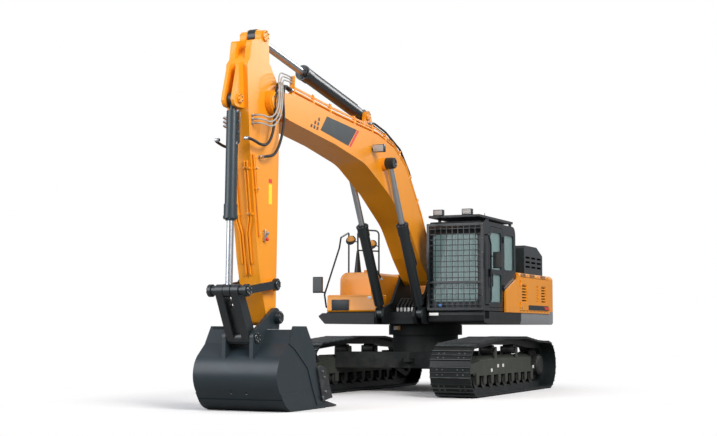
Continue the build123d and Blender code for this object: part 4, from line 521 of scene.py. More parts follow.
# Rods have painted eyes: node, pin and reach from it
rodEyes = {"lift_rod_left": ("liftEye", 0.122), "lift_rod_right": ("liftEye", 0.122),
           "crowd_rod": ("crowdEye", 0.130), "curl_rod": ("linkTop", 0.110)}
mergeDistance, flatAngle = 0.00002, 0.6


def paintEye(bm, nodeName):
    (x, z), reach = pins[rodEyes[nodeName][0]], rodEyes[nodeName][1]
    for face in bm.faces:
        if all(hypot(v.co.x - x, v.co.z - z) < reach for v in face.verts):
            face.material_index = 1


def soften(nodeName, width, segments, angle):
    source = nodes[nodeName]
    bm = bmesh.new()
    bm.from_mesh(source.data)
    bmesh.ops.remove_doubles(bm, verts=bm.verts, dist=mergeDistance)
    bmesh.ops.dissolve_limit(bm, angle_limit=radians(flatAngle), verts=bm.verts, edges=bm.edges)
    sharp = [e for e in bm.edges if len(e.link_faces) == 2 and e.calc_face_angle() > radians(angle)]
    roundEdges(bm, sharp, width, segments)
    bmesh.ops.triangulate(bm, faces=[f for f in bm.faces if len(f.verts) > 4])
    names = [m.name for m in source.data.materials]
    if nodeName in rodEyes:
        names.append("blackPaint")
        paintEye(bm, nodeName)
    return finishPiece(nodeName + "Soft", bm, names, bodyOf[nodeName], (nodeName,), True)


for nodeName, rounding in softEdges.items():
    print("softened", nodeName, len(soften(nodeName, *rounding).data.polygons))


# Shapes added to a bmesh; each takes the number of its material in the piece
def frameAlong(direction):
    forward = Vector(direction).normalized()
    side = forward.cross(Vector((0, 0, 1)) if abs(forward.z) < 0.95 else Vector((1, 0, 0))).normalized()
    return forward, side, side.cross(forward)


def ringAt(bm, centre, side, up, radius, sides):
    turns = [2 * pi * k / sides for k in range(sides)]
    return [bm.verts.new(centre + (side * cos(turn) + up * sin(turn)) * radius) for turn in turns]


def wallBetween(bm, low, high):
    count = len(low)
    return [bm.faces.new((low[k], low[(k + 1) % count], high[(k + 1) % count], high[k]))
            for k in range(count)]


# Revolved form: rows of distance along and radius from the base point; a radius of nought ends in a point
def addLathe(bm, base, direction, rows, sides=20, material=0):
    forward, side, up = frameAlong(direction)
    rings = []
    for along, radius in rows:
        centre = Vector(base) + forward * along
        rings.append(ringAt(bm, centre, side, up, radius, sides) if radius > 1e-6 else [bm.verts.new(centre)])
    faces = []
    for low, high in zip(rings, rings[1:]):
        if len(high) > 1:
            faces += wallBetween(bm, low, high)
        else:
            faces += [bm.faces.new((low[k], low[(k + 1) % sides], high[0])) for k in range(sides)]
    faces.append(bm.faces.new(rings[0][::-1]))
    if len(rings[-1]) > 1:
        faces.append(bm.faces.new(rings[-1]))
    return paintFaces(faces, material)


# Cylinder with rounded rims
def addDrum(bm, base, direction, length, radius, material=0, sides=20, edge=0.004):
    edge = min(edge, length / 3, radius / 3)
    rim = ((0, radius - edge), (edge * 0.3, radius - edge * 0.3), (edge, radius))
    rows = list(rim) + [(length - along, reach) for along, reach in rim[::-1]]
    return addLathe(bm, base, direction, rows, sides, material)


# Box between two corners with rounded edges; turn is a matrix applied about its middle
def addBlock(bm, low, high, material=0, edge=0.003, turn=None):
    low, high = Vector(low), Vector(high)
    middle = (low + high) / 2
    matrix = Matrix.Translation(middle) @ Matrix.Diagonal((*(high - low), 1))
    verts = bmesh.ops.create_cube(bm, size=1.0, matrix=matrix)["verts"]
    if edge:
        rounded = roundEdges(bm, list({e for v in verts for e in v.link_edges}), edge)
        verts = list({v for f in rounded for v in f.verts} | {v for v in verts if v.is_valid})
    paintFaces({f for v in verts for f in v.link_faces}, material)
    if turn is not None:
        aboutMiddle = Matrix.Translation(middle) @ turn @ Matrix.Translation(-middle)
        bmesh.ops.transform(bm, matrix=aboutMiddle, verts=verts)


# Flat plate from its corner points, thickened along a direction
def addPlate(bm, corners, direction, thickness, material=0, edge=0.0):
    lift = Vector(direction).normalized() * thickness
    low = [bm.verts.new(Vector(c)) for c in corners]
    high = [bm.verts.new(Vector(c) + lift) for c in corners]
    normal = (low[1].co - low[0].co).cross(low[2].co - low[1].co)
    if normal.dot(lift) < 0:
        low, high = low[::-1], high[::-1]
    faces = paintFaces([bm.faces.new(low[::-1]), bm.faces.new(high)] + wallBetween(bm, low, high), material)
    if edge:
        paintFaces(roundEdges(bm, list({e for f in faces for e in f.edges}), edge), material)


# Closed ring turned about an axis: rows go once round its section
def addRing(bm, base, direction, rows, sides=32, material=0):
    forward, side, up = frameAlong(direction)
    rings = [ringAt(bm, Vector(base) + forward * along, side, up, radius, sides) for along, radius in rows]
    faces = []
    for low, high in zip(rings, rings[1:] + rings[:1]):
        faces += wallBetween(bm, low, high)
    bmesh.ops.recalc_face_normals(bm, faces=faces)
    paintFaces(faces, material)


# Straight runs with arcs at the corners
def roundedPath(points, bend, steps=6):
    points = [Vector(p) for p in points]
    path = [points[0]]
    for last, here, following in zip(points, points[1:], points[2:]):
        back, ahead = last - here, following - here
        half = back.angle(ahead) / 2
        if half > pi / 2 - 0.02:
            path.append(here)
            continue
        run = min(bend / tan(half), back.length * 0.48, ahead.length * 0.48)
        radius = run * tan(half)
        back.normalize()
        ahead.normalize()
        centre = here + (back + ahead).normalized() * (radius / sin(half))
        start, stop = (here + back * run - centre).normalized(), (here + ahead * run - centre).normalized()
        path += [centre + start.slerp(stop, k / steps) * radius for k in range(steps + 1)]
    path.append(points[-1])
    return path


# Smooth run near a line of points, by cutting its corners again and again; the ends stay
def smoothPath(points, rounds=3):
    path = [Vector(p) for p in points]
    for _ in range(rounds):
        cut = [path[0]]
        for a, b in zip(path, path[1:]):
            cut += [a.lerp(b, 0.25), a.lerp(b, 0.75)]
        path = cut + [path[-1]]
    return path


# Round tube along a path of points, with flat ends
def addTube(bm, path, radius, material=0, sides=12):
    count = len(path)
    tangents = [(path[min(i + 1, count - 1)] - path[max(i - 1, 0)]).normalized() for i in range(count)]
    side = frameAlong(tangents[0])[1]
    rings = []
    for point, tangent in zip(path, tangents):
        side = (side - tangent * side.dot(tangent)).normalized()
        rings.append(ringAt(bm, point, side, tangent.cross(side), radius, sides))
    faces = []
    for low, high in zip(rings, rings[1:]):
        faces += wallBetween(bm, low, high)
    paintFaces(faces + [bm.faces.new(rings[0][::-1]), bm.faces.new(rings[-1])], material)


def addNut(bm, at, direction, material, radius=0.012):
    addLathe(bm, at, direction, [(0, radius), (radius * 0.75, radius), (radius, radius * 0.75)], 6, material)


def addBoltRing(bm, centre, direction, reach, count, height, material):
    side, up = frameAlong(direction)[1:]
    for number in range(count):
        angle = 2 * pi * (number + 0.5) / count
        spot = Vector(centre) + (side * cos(angle) + up * sin(angle)) * reach
        addLathe(bm, spot, direction, [(0, 0.011), (height, 0.011), (height + 0.003, 0.008)], 6, material)


def addSleeve(bm, at, direction, radius, length, material):
    rows = ((0, 0.9), (0.25, 1.45), (0.45, 1.45), (0.5, 1.25), (1, 1.2))
    addLathe(bm, at, direction, [(length * along, radius * wide) for along, wide in rows], 12, material)


# Hose along a path with sleeves on its ends
def addHose(bm, path, radius, rubber, sleeve, sleeveLength, sides=12):
    addTube(bm, path, radius, rubber, sides)
    for end, following in ((path[0], path[1]), (path[-1], path[-2])):
        addSleeve(bm, end, following - end, radius, sleeveLength, sleeve)


# Places along a line from one pin to another: along it, to its left, and across the machine
def sideFrame(start, stop):
    (ax, az), (bx, bz) = pins[start], pins[stop]
    length = hypot(bx - ax, bz - az)
    ux, uz = (bx - ax) / length, (bz - az) / length

    def place(along, left, across):
        return Vector((ax + ux * along - uz * left, across, az + uz * along + ux * left))
    return place, length, Vector((ux, 0, uz)), Vector((-uz, 0, ux))


# Corners of the boom's top line as shares of the way from its foot to the arm's pin: along and to the left
boomTopShares = ((0.9411, 0.0578), (0.7229, 0.1210), (0.4819, 0.1975), (0.3755, 0.2157), (0.2860, 0.2043),
                 (0.1402, 0.1257), (-0.0173, 0.0158))
boomTopLine = {"platePlace": 0.945, "tail": 0.35, "bend": 0.40}
boomPlace, boomLength = sideFrame("foot", "armPin")[:2]
boomCorners = [boomPlace(u * boomLength, v * boomLength, 0) for u, v in boomTopShares]


# Run of the boom's top between two corners, counted from its front end, with the direction off the top
def topRun(index):
    start, stop = boomCorners[index + 1], boomCorners[index]
    run = (stop - start).normalized()
    return start, stop, run, Vector((-run.z, 0, run.x))


def overTop(index, share, height, across, along=0):
    start, stop, run, up = topRun(index)
    spot = start.lerp(stop, share) + run * along + up * height
    return Vector((spot.x, across, spot.z))


# Path over the boom's top at a height above it
def boomTopPath(height, across):
    spots = [overTop(0, boomTopLine["platePlace"], height, across)]
    spots += [overTop(i, 1, height, across) for i in range(1, 6)]
    spots.append(overTop(5, boomTopLine["tail"], height, across))
    return roundedPath(spots, boomTopLine["bend"], 5)


# Corners of a rectangle in turn, from its ends one way and the other way
def rectangle(lowA, highA, lowB, highB):
    return (lowA, lowB), (highA, lowB), (highA, highB), (lowA, highB)


# Oil pipes on both edges of the boom's top, thin pipes between them, clamps, nuts and the front plate
boomPipes = {"places": ((0.212, 0.019, 0.045), (0.258, 0.019, 0.045), (0.262, 0.009, 0.088),
                        (0.246, 0.009, 0.110), (0.228, 0.009, 0.130)),
             "clamps": ((0, 0.1), (0, 0.5), (1, 0.12), (1, 0.55), (2, 0.5), (3, 0.5), (4, 0.25), (4, 0.75),
                        (5, 0.6)), "clampHalf": 0.030, "clampSpan": (0.190, 0.278), "clampTop": 0.068,
             "postHalf": 0.012, "postSpan": (0.216, 0.272), "postTop": 0.145, "nutAcross": 0.240,
             "off": 0.0005, "nut": ((0, 0.013), (0.010, 0.013), (0.013, 0.010)), "plateSpan": (0.192, 0.282),
             "plateHalf": 0.010, "plateTop": 0.284}


def addBoomPipes():
    bm, finish = startPiece("orangePaint", "boltSteel")
    paint, off = finish["orangePaint"], boomPipes["off"]
    top, postTop = boomPipes["clampTop"], boomPipes["postTop"]
    stages = ((off, boomPipes["clampHalf"], boomPipes["clampSpan"], top, 0.005),
              (top, boomPipes["postHalf"], boomPipes["postSpan"], postTop - top, 0.003))
    nearSide, farSide = boomPipes["plateSpan"]
    half, plateTop = boomPipes["plateHalf"], boomPipes["plateTop"]
    for side in bothSides:
        for across, radius, height in boomPipes["places"]:
            addTube(bm, boomTopPath(height, side * across), radius, paint)
        for index, share in boomPipes["clamps"]:
            up = topRun(index)[3]
            for height, reach, span, tall, edge in stages:
                base = [overTop(index, share, height, side * across, along)
                        for along, across in rectangle(-reach, reach, *span)]
                addPlate(bm, base, up, tall, paint, edge)
            nutSeat = overTop(index, share, postTop, side * boomPipes["nutAcross"])
            addLathe(bm, nutSeat, up, boomPipes["nut"], 6, finish["boltSteel"])
        corners = [overTop(0, boomTopLine["platePlace"], height, side * nearSide, along)
                   for along, height in rectangle(-half, half, off, plateTop)]
        addPlate(bm, corners, (0, side, 0), farSide - nearSide, paint, 0.003)
    finishPiece("boomPipesDressed", bm, finish, bodyOf["boom_pipes"], ("boom_pipes",))


# Hoses from the arm to the boom's front plate: finish, place on the plate and points from the arm's pin
gearHoses = {"kinds": {"hoseRubber": (0.021, 14), "paleHose": (0.012, 10)}, "sleeve": 0.075,
             "plateRun": (0.130, 0.011)}
gearRoutes = (
    ("hoseRubber", 0.212, 0.045,
     ((0.820, 0.206, -0.665), (0.820, 0.305, -0.665), (0.370, 0.305, -0.745), (0.150, 0.305, -0.570),
      (0.050, 0.305, -0.210), (0.090, 0.305, -0.020), (0.020, 0.305, 0.190), (-0.220, 0.212, 0.355))),
    ("hoseRubber", 0.258, 0.045,
     ((0.340, 0.206, -0.880), (0.340, 0.305, -0.880), (0.040, 0.305, -0.820), (-0.160, 0.305, -0.520),
      (-0.230, 0.305, -0.240), (-0.180, 0.305, 0.100), (-0.210, 0.305, 0.215), (-0.350, 0.258, 0.310))),
    ("paleHose", 0.240, 0.250,
     ((0.550, 0.206, -0.285), (0.550, 0.342, -0.285), (0.250, 0.342, -0.300), (0.050, 0.342, -0.150),
      (0.000, 0.342, 0.140), (0.030, 0.342, 0.325), (-0.090, 0.300, 0.460), (-0.350, 0.240, 0.488))),
    ("paleHose", 0.240, 0.210,
     ((0.550, 0.206, -0.345), (0.550, 0.342, -0.345), (0.220, 0.342, -0.365), (-0.010, 0.342, -0.190),
      (-0.058, 0.342, 0.130), (-0.035, 0.342, 0.295), (-0.145, 0.305, 0.415), (-0.380, 0.240, 0.442))),
    ("paleHose", 0.240, 0.165,
     ((0.550, 0.206, -0.405), (0.550, 0.342, -0.405), (0.195, 0.342, -0.430), (-0.065, 0.342, -0.230),
      (-0.116, 0.342, 0.120), (-0.095, 0.342, 0.260), (-0.190, 0.310, 0.365), (-0.380, 0.240, 0.395))),
)


def addGearHoses():
    bm, finish = startPiece("hoseRubber", "paleHose", "silverPlate")
    pinX, pinZ = pins["armPin"]
    for kind, across, height, route in gearRoutes:
        radius, sides = gearHoses["kinds"][kind]
        for side in bothSides:
            points = [Vector((pinX + dx, side * y, pinZ + dz)) for dx, y, dz in route]
            points += [overTop(0, boomTopLine["platePlace"], height, side * across, along)
                       for along in gearHoses["plateRun"]]
            addHose(bm, smoothPath(points), radius, finish[kind], finish["silverPlate"], gearHoses["sleeve"],
                    sides)
    finishPiece("gearHosesDressed", bm, finish, bodyOf["gear_hoses"], ("gear_hoses",))


# Hoses from the valve block to the deck in front of the boom's foot
footHoses = {"across": (-0.190, -0.114, -0.038, 0.038, 0.114, 0.190), "radius": 0.018, "bend": 0.080,
             "sleeve": 0.080,
             "line": ((-0.2397, 1.700), (-0.110, 1.700), (0.180, 1.790), (0.760, 1.780), (0.960, 1.640),
                      (0.960, 1.531))}


def addFootHoses():
    bm, finish = startPiece("hoseRubber", "whitePlate")
    for across in footHoses["across"]:
        path = roundedPath([(x, across, z) for x, z in footHoses["line"]], footHoses["bend"])
        addHose(bm, path, footHoses["radius"], finish["hoseRubber"], finish["whitePlate"],
                footHoses["sleeve"])
    finishPiece("footHosesDressed", bm, finish, bodyOf["foot_hoses"], ("foot_hoses",))


# Black hoses over the boom's bend: run of the top, share of it and height; the outer hose lies higher
bendHoses = {"radius": 0.019, "across": (0.205, 0.250), "rise": 0.6, "bend": 0.30, "sleeve": 0.070,
             "start": (1, 0.18, 0.140), "stop": (4, 0.70, 0.110),
             "over": ((1, 0.06, 0.160), (2, 0.5, 0.155), (3, 0.5, 0.150), (4, 0.80, 0.110))}


def addBendHoses():
    bm, finish = startPiece("hoseRubber", "silverPlate")
    for side in bothSides:
        for across in bendHoses["across"]:
            rise = (across - bendHoses["across"][0]) * bendHoses["rise"]
            over = [(index, share, height + rise) for index, share, height in bendHoses["over"]]
            spots = [overTop(*spot, side * across) for spot in (bendHoses["start"], *over, bendHoses["stop"])]
            addHose(bm, roundedPath(spots, bendHoses["bend"]), bendHoses["radius"], finish["hoseRubber"],
                    finish["silverPlate"], bendHoses["sleeve"])
    finishPiece("bendHoses", bm, finish, bodyOf["boom"])


# Hoses behind the lift cylinders, from a port down to the foot: along the barrel, behind it and across
liftHose = {"radius": 0.017, "bend": 0.09, "sleeve": 0.070,
            "route": ((1.42, 0.070, 0.400), (1.42, 0.165, 0.420), (0.95, 0.175, 0.440), (0.74, 0.150, 0.345),
                      (0.60, 0.215, 0.345))}


def addLiftHoses():
    place = sideFrame("liftFoot", "liftEye")[0]
    for side, node in zip(bothSides, ("lift_barrel_left", "lift_barrel_right")):
        bm, finish = startPiece("hoseRubber", "whitePlate")
        path = roundedPath([place(at, behind, side * y) for at, behind, y in liftHose["route"]],
                           liftHose["bend"])
        addTube(bm, path, liftHose["radius"], finish["hoseRubber"])
        addSleeve(bm, path[-1], path[-2] - path[-1], liftHose["radius"], liftHose["sleeve"],
                  finish["whitePlate"])
        finishPiece("liftHose_" + node, bm, finish, bodyOf[node])


# Thin plain plates that lie on the flat flanks
flankMark = {"off": 0.0006, "thick": 0.0012}


def addFlankMark(bm, side, face, corners, material):
    across = side * (face + flankMark["off"])
    addPlate(bm, [(x, across, z) for x, z in corners], (0, side, 0), flankMark["thick"], material)


# Plain marks on the boom's flanks: a dark panel with the corner cut away by a red slash, and six dashes
boomMarks = {"panel": ((5.02, 4.66), (3.86, 4.60), (4.20, 4.28), (5.26, 4.40)),
             "slash": ((3.84, 4.60), (3.76, 4.59), (4.10, 4.27), (4.17, 4.275)),
             "dashFrom": (5.56, 4.40), "columnStep": (-0.105, -0.008), "rowStep": (-0.030, 0.078),
             "dash": ((0, 0), (0.060, 0), (0.038, 0.055), (-0.022, 0.055)),
             "dashes": ((0, 0), (1, 0), (2, 0), (1, 1), (2, 1), (2, 2))}


def addBoomMarks():
    bm, finish = startPiece("markAndShadePlate", "redStripe")
    half = halfWidth["boom"]
    columnStep, rowStep = Vector(boomMarks["columnStep"]), Vector(boomMarks["rowStep"])
    for side in bothSides:
        addFlankMark(bm, side, half, boomMarks["panel"], finish["markAndShadePlate"])
        addFlankMark(bm, side, half, boomMarks["slash"], finish["redStripe"])
        for column, row in boomMarks["dashes"]:
            corner = Vector(boomMarks["dashFrom"]) + column * columnStep + row * rowStep
            corners = [corner + Vector(spot) for spot in boomMarks["dash"]]
            addFlankMark(bm, side, half, corners, finish["markAndShadePlate"])
    finishPiece("boomMarks", bm, finish, bodyOf["boom"])


# Caps over the pins: pin, reach across, radius, thickness, node and finish
pinCaps = (
    ("armPin", 0.280, 0.150, 0.030, "boom", "orangePaint"),
    ("foot", 0.341, 0.090, 0.024, "platform", "blackPaint"),
    ("crowdFoot", 0.116, 0.085, 0.028, "boom", "orangePaint"),
    ("crowdEye", 0.180, 0.088, 0.030, "arm", "orangePaint"),
    ("curlFoot", 0.106, 0.072, 0.028, "arm", "orangePaint"),
    ("bucketPin", 0.331, 0.085, 0.014, "bucket", "blackPaint"),
    ("linkLow", 0.261, 0.080, 0.020, "bucket", "blackPaint"),
    ("rocker", 0.323, 0.070, 0.016, "rocker_links", "blackPaint"),
    ("linkTop", 0.323, 0.070, 0.016, "rocker_links", "blackPaint"),
)
liftCap = {"across": 0.4555, "radius": 0.098, "thick": 0.052}
# Profile of a cap as shares of its thickness and radius, and its bolts
capFit = {"sunk": 0.004,
          "profile": ((0.75, 1), (1, 0.94), (1, 0.62), (0.7, 0.52), (0.7, 0.2), (1, 0.14), (1, 0)),
          "sides": 32, "bolts": 6, "boltReach": 0.78, "boltSunk": 0.001, "boltTall": 0.008}


def addPinCap(bm, base, side, radius, thick, material, boltMaterial):
    direction = Vector((0, side, 0))
    rows = [(thick * share, radius * wide) for share, wide in capFit["profile"]]
    addLathe(bm, base, direction, [(-capFit["sunk"], radius)] + rows, capFit["sides"], material)
    boltSeat = Vector(base) + direction * (thick - capFit["boltSunk"])
    addBoltRing(bm, boltSeat, direction, radius * capFit["boltReach"], capFit["bolts"], capFit["boltTall"],
                boltMaterial)


def addPinCaps():
    bodies = {}
    for pin, across, radius, thick, node, material in pinCaps:
        bodies.setdefault(bodyOf[node], []).append((*pins[pin], across, radius, thick, material))
    for body, rows in bodies.items():
        bm, finish = startPiece("orangePaint", "blackPaint", "boltSteel")
        for x, z, across, radius, thick, material in rows:
            for side in bothSides:
                addPinCap(bm, (x, side * across, z), side, radius, thick, finish[material],
                          finish["boltSteel"])
        finishPiece("pinCaps_" + body, bm, finish, body)


# Black caps over the outer ends of the lift pins
def addLiftCaps():
    x, z = pins["liftEye"]
    for side, node in zip(bothSides, ("lift_rod_left", "lift_rod_right")):
        bm, finish = startPiece("blackPaint", "boltSteel")
        addPinCap(bm, (x, side * liftCap["across"], z), side, liftCap["radius"], liftCap["thick"],
                  finish["blackPaint"], finish["boltSteel"])
        finishPiece("liftCap_" + node, bm, finish, bodyOf[node])


# Arm: thin pipes on the edges of its rear face and on its flanks, hose seats, a valve and a yellow label
armFit = {"faceLine": ((0.25, 0.658), (0.801, 0.625), (2.358, 0.413), (2.862, 0.298)),
          "facePipes": ((0.080, 0.95, 2.62), (0.125, 0.95, 2.45)), "faceShift": (1.80, 2.00, -0.045),
          "faceEnds": (-0.006, -0.030), "faceClamps": (1.05, 1.72), "faceSpan": (0.060, 0.165),
          "faceNut": 0.112, "faceSunk": 0.004, "faceTall": 0.042,
          "sidePipes": ((0.060, 0.85, 2.05), (0.105, 0.85, 1.40)), "sideClamps": (1.05, 1.35),
          "sideSpan": (0.040, 0.150), "sideNut": 0.082, "sideTall": 0.040, "sideSunk": 0.004,
          "pipeRadius": 0.013, "pipeBend": 0.03, "stand": 0.022, "clampHalf": 0.018,
          "label": (6.80, 6.70, 3.37, 3.07), "labelBar": (6.80, 6.70, 3.45, 3.39),
          "seats": ((7.330, 4.335), (7.330, 4.275), (7.330, 4.215), (7.120, 3.740)), "seat": (0.022, 0.024),
          "valve": (6.945, 2.57), "valveHalf": (0.035, 0.070), "valveOut": 0.050,
          "valveKnobs": ((0.045, 0.026, "silverPlate"), (-0.045, 0.026, "redStripe"))}


def rearFace(along):
    for (a, left), (b, nextLeft) in zip(armFit["faceLine"], armFit["faceLine"][1:]):
        if along <= b:
            break
    return left + (nextLeft - left) * (along - a) / (b - a)


def addArmPipe(bm, path, material):
    addTube(bm, roundedPath(path, armFit["pipeBend"], 4), armFit["pipeRadius"], material, 10)


def addArmPipes(bm, side, finish):
    place, _, _, left = sideFrame("armPin", "bucketPin")
    paint, bolt, half = finish["orangePaint"], finish["boltSteel"], halfWidth["arm"]
    stand, clampHalf, out = armFit["stand"], armFit["clampHalf"], Vector((0, side, 0))
    startShift, stopShift, shifted = armFit["faceShift"]
    topEnd, footEnd = armFit["faceEnds"]
    for across, top, foot in armFit["facePipes"]:
        stations = ((top, topEnd, 0), (top, stand, 0), (startShift, stand, 0), (stopShift, stand, shifted),
                    (foot, stand, shifted), (foot, footEnd, shifted))
        path = [place(at, rearFace(at) + over, side * (across + shift)) for at, over, shift in stations]
        addArmPipe(bm, path, paint)
    for at in armFit["faceClamps"]:
        base = [place(at + shift, rearFace(at + shift) - armFit["faceSunk"], side * across)
                for shift, across in rectangle(-clampHalf, clampHalf, *armFit["faceSpan"])]
        addPlate(bm, base, left, armFit["faceTall"], paint, 0.004)
        nutOver = armFit["faceTall"] - armFit["faceSunk"]
        addNut(bm, place(at, rearFace(at) + nutOver, side * armFit["faceNut"]), left, bolt)
    for inset, top, foot in armFit["sidePipes"]:
        sunk, stood = half - armFit["sideSunk"], half + stand
        stations = ((top, sunk), (top, stood), (foot, stood), (foot, sunk))
        addArmPipe(bm, [place(at, rearFace(at) - inset, side * across) for at, across in stations], paint)
    for at in armFit["sideClamps"]:
        base = [place(at + shift, rearFace(at + shift) - inset, side * half)
                for shift, inset in rectangle(-clampHalf, clampHalf, *armFit["sideSpan"])]
        addPlate(bm, base, out, armFit["sideTall"], paint, 0.004)
        nutAcross = side * (half + armFit["sideTall"])
        addNut(bm, place(at, rearFace(at) - armFit["sideNut"], nutAcross), out, bolt)


def addArmFit():
    bm, finish = startPiece("orangePaint", "silverPlate", "yellowPlate", "redStripe", "boltSteel",
                            "blackPaint")
    half, silver = halfWidth["arm"], finish["silverPlate"]
    tall, wide = armFit["seat"]
    for side in bothSides:
        addArmPipes(bm, side, finish)
        for x, z in armFit["seats"]:
            addDrum(bm, (x, side * (half - 0.002), z), (0, side, 0), tall, wide, silver, 16, 0.003)
        addFlankMark(bm, side, half, rectangle(*armFit["label"]), finish["yellowPlate"])
        addFlankMark(bm, side, half, rectangle(*armFit["labelBar"]), finish["redStripe"])
    (x, z), (halfLong, halfTall), out = armFit["valve"], armFit["valveHalf"], half + armFit["valveOut"]
    addBlock(bm, (x - halfLong, half - 0.002, z - halfTall), (x + halfLong, out, z + halfTall), silver, 0.008)
    for shift, radius, material in armFit["valveKnobs"]:
        addDrum(bm, (x, half + 0.045, z + shift), (0, 1, 0), 0.034, radius, finish[material], 16)
    addDrum(bm, (x, half + 0.024, z + 0.066), (0, 0, 1), 0.035, 0.018, silver, 14, 0.003)
    finishPiece("armFit", bm, finish, bodyOf["arm"])


# Cylinders: pins, reach of the tube, place across, radius of tube and rod, and where the oil tube lies
liftRam = {"foot": "liftFoot", "eye": "liftEye", "reach": 1.850, "radius": 0.095, "rod": 0.055,
           "tube": "above", "paint": "blackPaint"}
rams = (
    {**liftRam, "across": 0.400, "node": "lift_barrel_left"},
    {**liftRam, "across": -0.400, "node": "lift_barrel_right"},
    {"foot": "crowdFoot", "eye": "crowdEye", "reach": 2.360, "across": 0.0, "radius": 0.110, "rod": 0.062,
     "node": "crowd_barrel", "tube": "above", "paint": "blackPaint"},
    {"foot": "curlFoot", "eye": "linkTop", "reach": 1.780, "across": 0.0, "radius": 0.088, "rod": 0.052,
     "node": "curl_barrel", "tube": "left", "paint": "slatePaint"},
)
ramFit = {"headBack": 0.060, "headOver": 0.020, "rodGap": 0.004, "bolts": 8, "boltAt": 0.0395,
          "boltInset": 0.018, "tubeRadius": 0.014, "tubeBend": 0.035, "tubeStand": 0.030, "portAt": 0.19,
          "farShift": 0.05, "shortTube": 0.66, "clips": (0.33, 0.67), "clip": (0.032, 0.020),
          "clipSunk": 0.012, "port": (0.026, 0.026)}


def addRamFit(ram):
    bm, finish = startPiece(ram["paint"], "boltSteel", "silverPlate")
    place, _, along, left = sideFrame(ram["foot"], ram["eye"])
    paint, across, radius, reach = finish[ram["paint"]], ram["across"], ram["radius"], ram["reach"]
    over = radius + ramFit["headOver"]
    inner = ram["rod"] + ramFit["rodGap"]
    start = place(reach - ramFit["headBack"], 0, across)
    rows = [(0.0, radius - 0.020), (0.0, over - 0.003), (0.003, over), (0.037, over), (0.040, over - 0.003),
            (0.040, inner + 0.022), (0.066, inner + 0.018), (0.070, inner + 0.012), (0.070, inner),
            (0.0, inner)]
    addRing(bm, start, along, rows, 36, paint)
    boltSeat = start + along * ramFit["boltAt"]
    addBoltRing(bm, boltSeat, along, over - ramFit["boltInset"], ramFit["bolts"], 0.010, finish["boltSteel"])
    # The oil tube runs beside the barrel from its foot to its head
    outward = left if ram["tube"] == "above" else Vector((0, 1, 0))
    lift, near = radius + ramFit["tubeStand"], ramFit["portAt"]
    far = reach - near + ramFit["farShift"] if ram["tube"] == "above" else ramFit["shortTube"]
    tube = [place(at, 0, across) + outward * height
            for at, height in ((near, radius * 0.6), (near, lift), (far, lift), (far, radius * 0.6))]
    addTube(bm, roundedPath(tube, ramFit["tubeBend"], 5), ramFit["tubeRadius"], paint, 10)
    clipLong, clipRadius = ramFit["clip"]
    for share in ramFit["clips"]:
        clip = place(near + (far - near) * share - clipLong / 2, 0, across)
        addDrum(bm, clip + outward * (lift - ramFit["clipSunk"]), along, clipLong, clipRadius, paint, 12)
    for at in (near, far):
        port = place(at, 0, across) + outward * (radius - ramFit["clipSunk"])
        addDrum(bm, port, outward, *ramFit["port"], finish["silverPlate"], 16, 0.003)
    finishPiece("ramFit_" + ram["node"], bm, finish, bodyOf[ram["node"]])


# Bucket: weld beads along the ears and the lip, and bolts on the side cutters
bucketFit = {"earWeld": ((6.595, 1.190), (6.965, 1.190), (7.100, 0.965), (7.385, 0.745)),
             "earFaces": (0.199, 0.261), "beadRadius": 0.007, "lipWeld": (6.242, 0.660, 0.048),
             "lipRadius": 0.009, "cutterFace": 0.7443,
             "cutterBolts": ((6.045, 0.470), (6.110, 0.560), (6.000, 0.250), (6.090, 0.170)),
             "bolt": ((0, 0.026), (0.005, 0.026), (0.006, 0.021), (0.020, 0.021), (0.025, 0.015))}


def addBucketFit():
    bm, finish = startPiece("boltSteel", "toothSteel")
    steel = finish["boltSteel"]
    for side in bothSides:
        for across in bucketFit["earFaces"]:
            path = roundedPath([(x, side * across, z) for x, z in bucketFit["earWeld"]], 0.03, 3)
            addTube(bm, path, bucketFit["beadRadius"], steel, 8)
        for x, z in bucketFit["cutterBolts"]:
            addLathe(bm, (x, side * bucketFit["cutterFace"], z), (0, side, 0), bucketFit["bolt"], 6, steel)
    x, half, z = bucketFit["lipWeld"]
    addTube(bm, [Vector((x, -half, z)), Vector((x, half, z))], bucketFit["lipRadius"], steel, 8)
    finishPiece("bucketFit", bm, finish, bodyOf["bucket"])


# Thin plates on a face that looks forward: low corner, high corner and finish
def addFrontPlates(bm, face, plates, finish):
    for (lowY, lowZ), (highY, highZ), material in plates:
        addBlock(bm, (face - 0.002, lowY, lowZ), (face + 0.004, highY, highZ), finish[material], 0.0015)


# Cab: lamp glass on the roof guard, an aerial, plates and nuts on the front guard
cabFit = {"lamps": ((0.660, 0.850), (1.230, 1.420)), "lampSpan": (3.320, 3.430), "rim": 0.012,
          "nutBack": 0.050, "lampNut": 0.011, "aerial": (0.30, 1.35, 3.321),
          "aerialRows": ((0, 0.030), (0.012, 0.026), (0.020, 0.010), (0.110, 0.004), (0.110, 0)),
          "plates": (((0.570, 1.455), (0.755, 1.505), "whitePlate"),
                     ((0.760, 1.625), (0.820, 1.665), "blueTag")), "guardNuts": 7,
          "guardInset": (0.018, 0.030), "guardNut": 0.010}


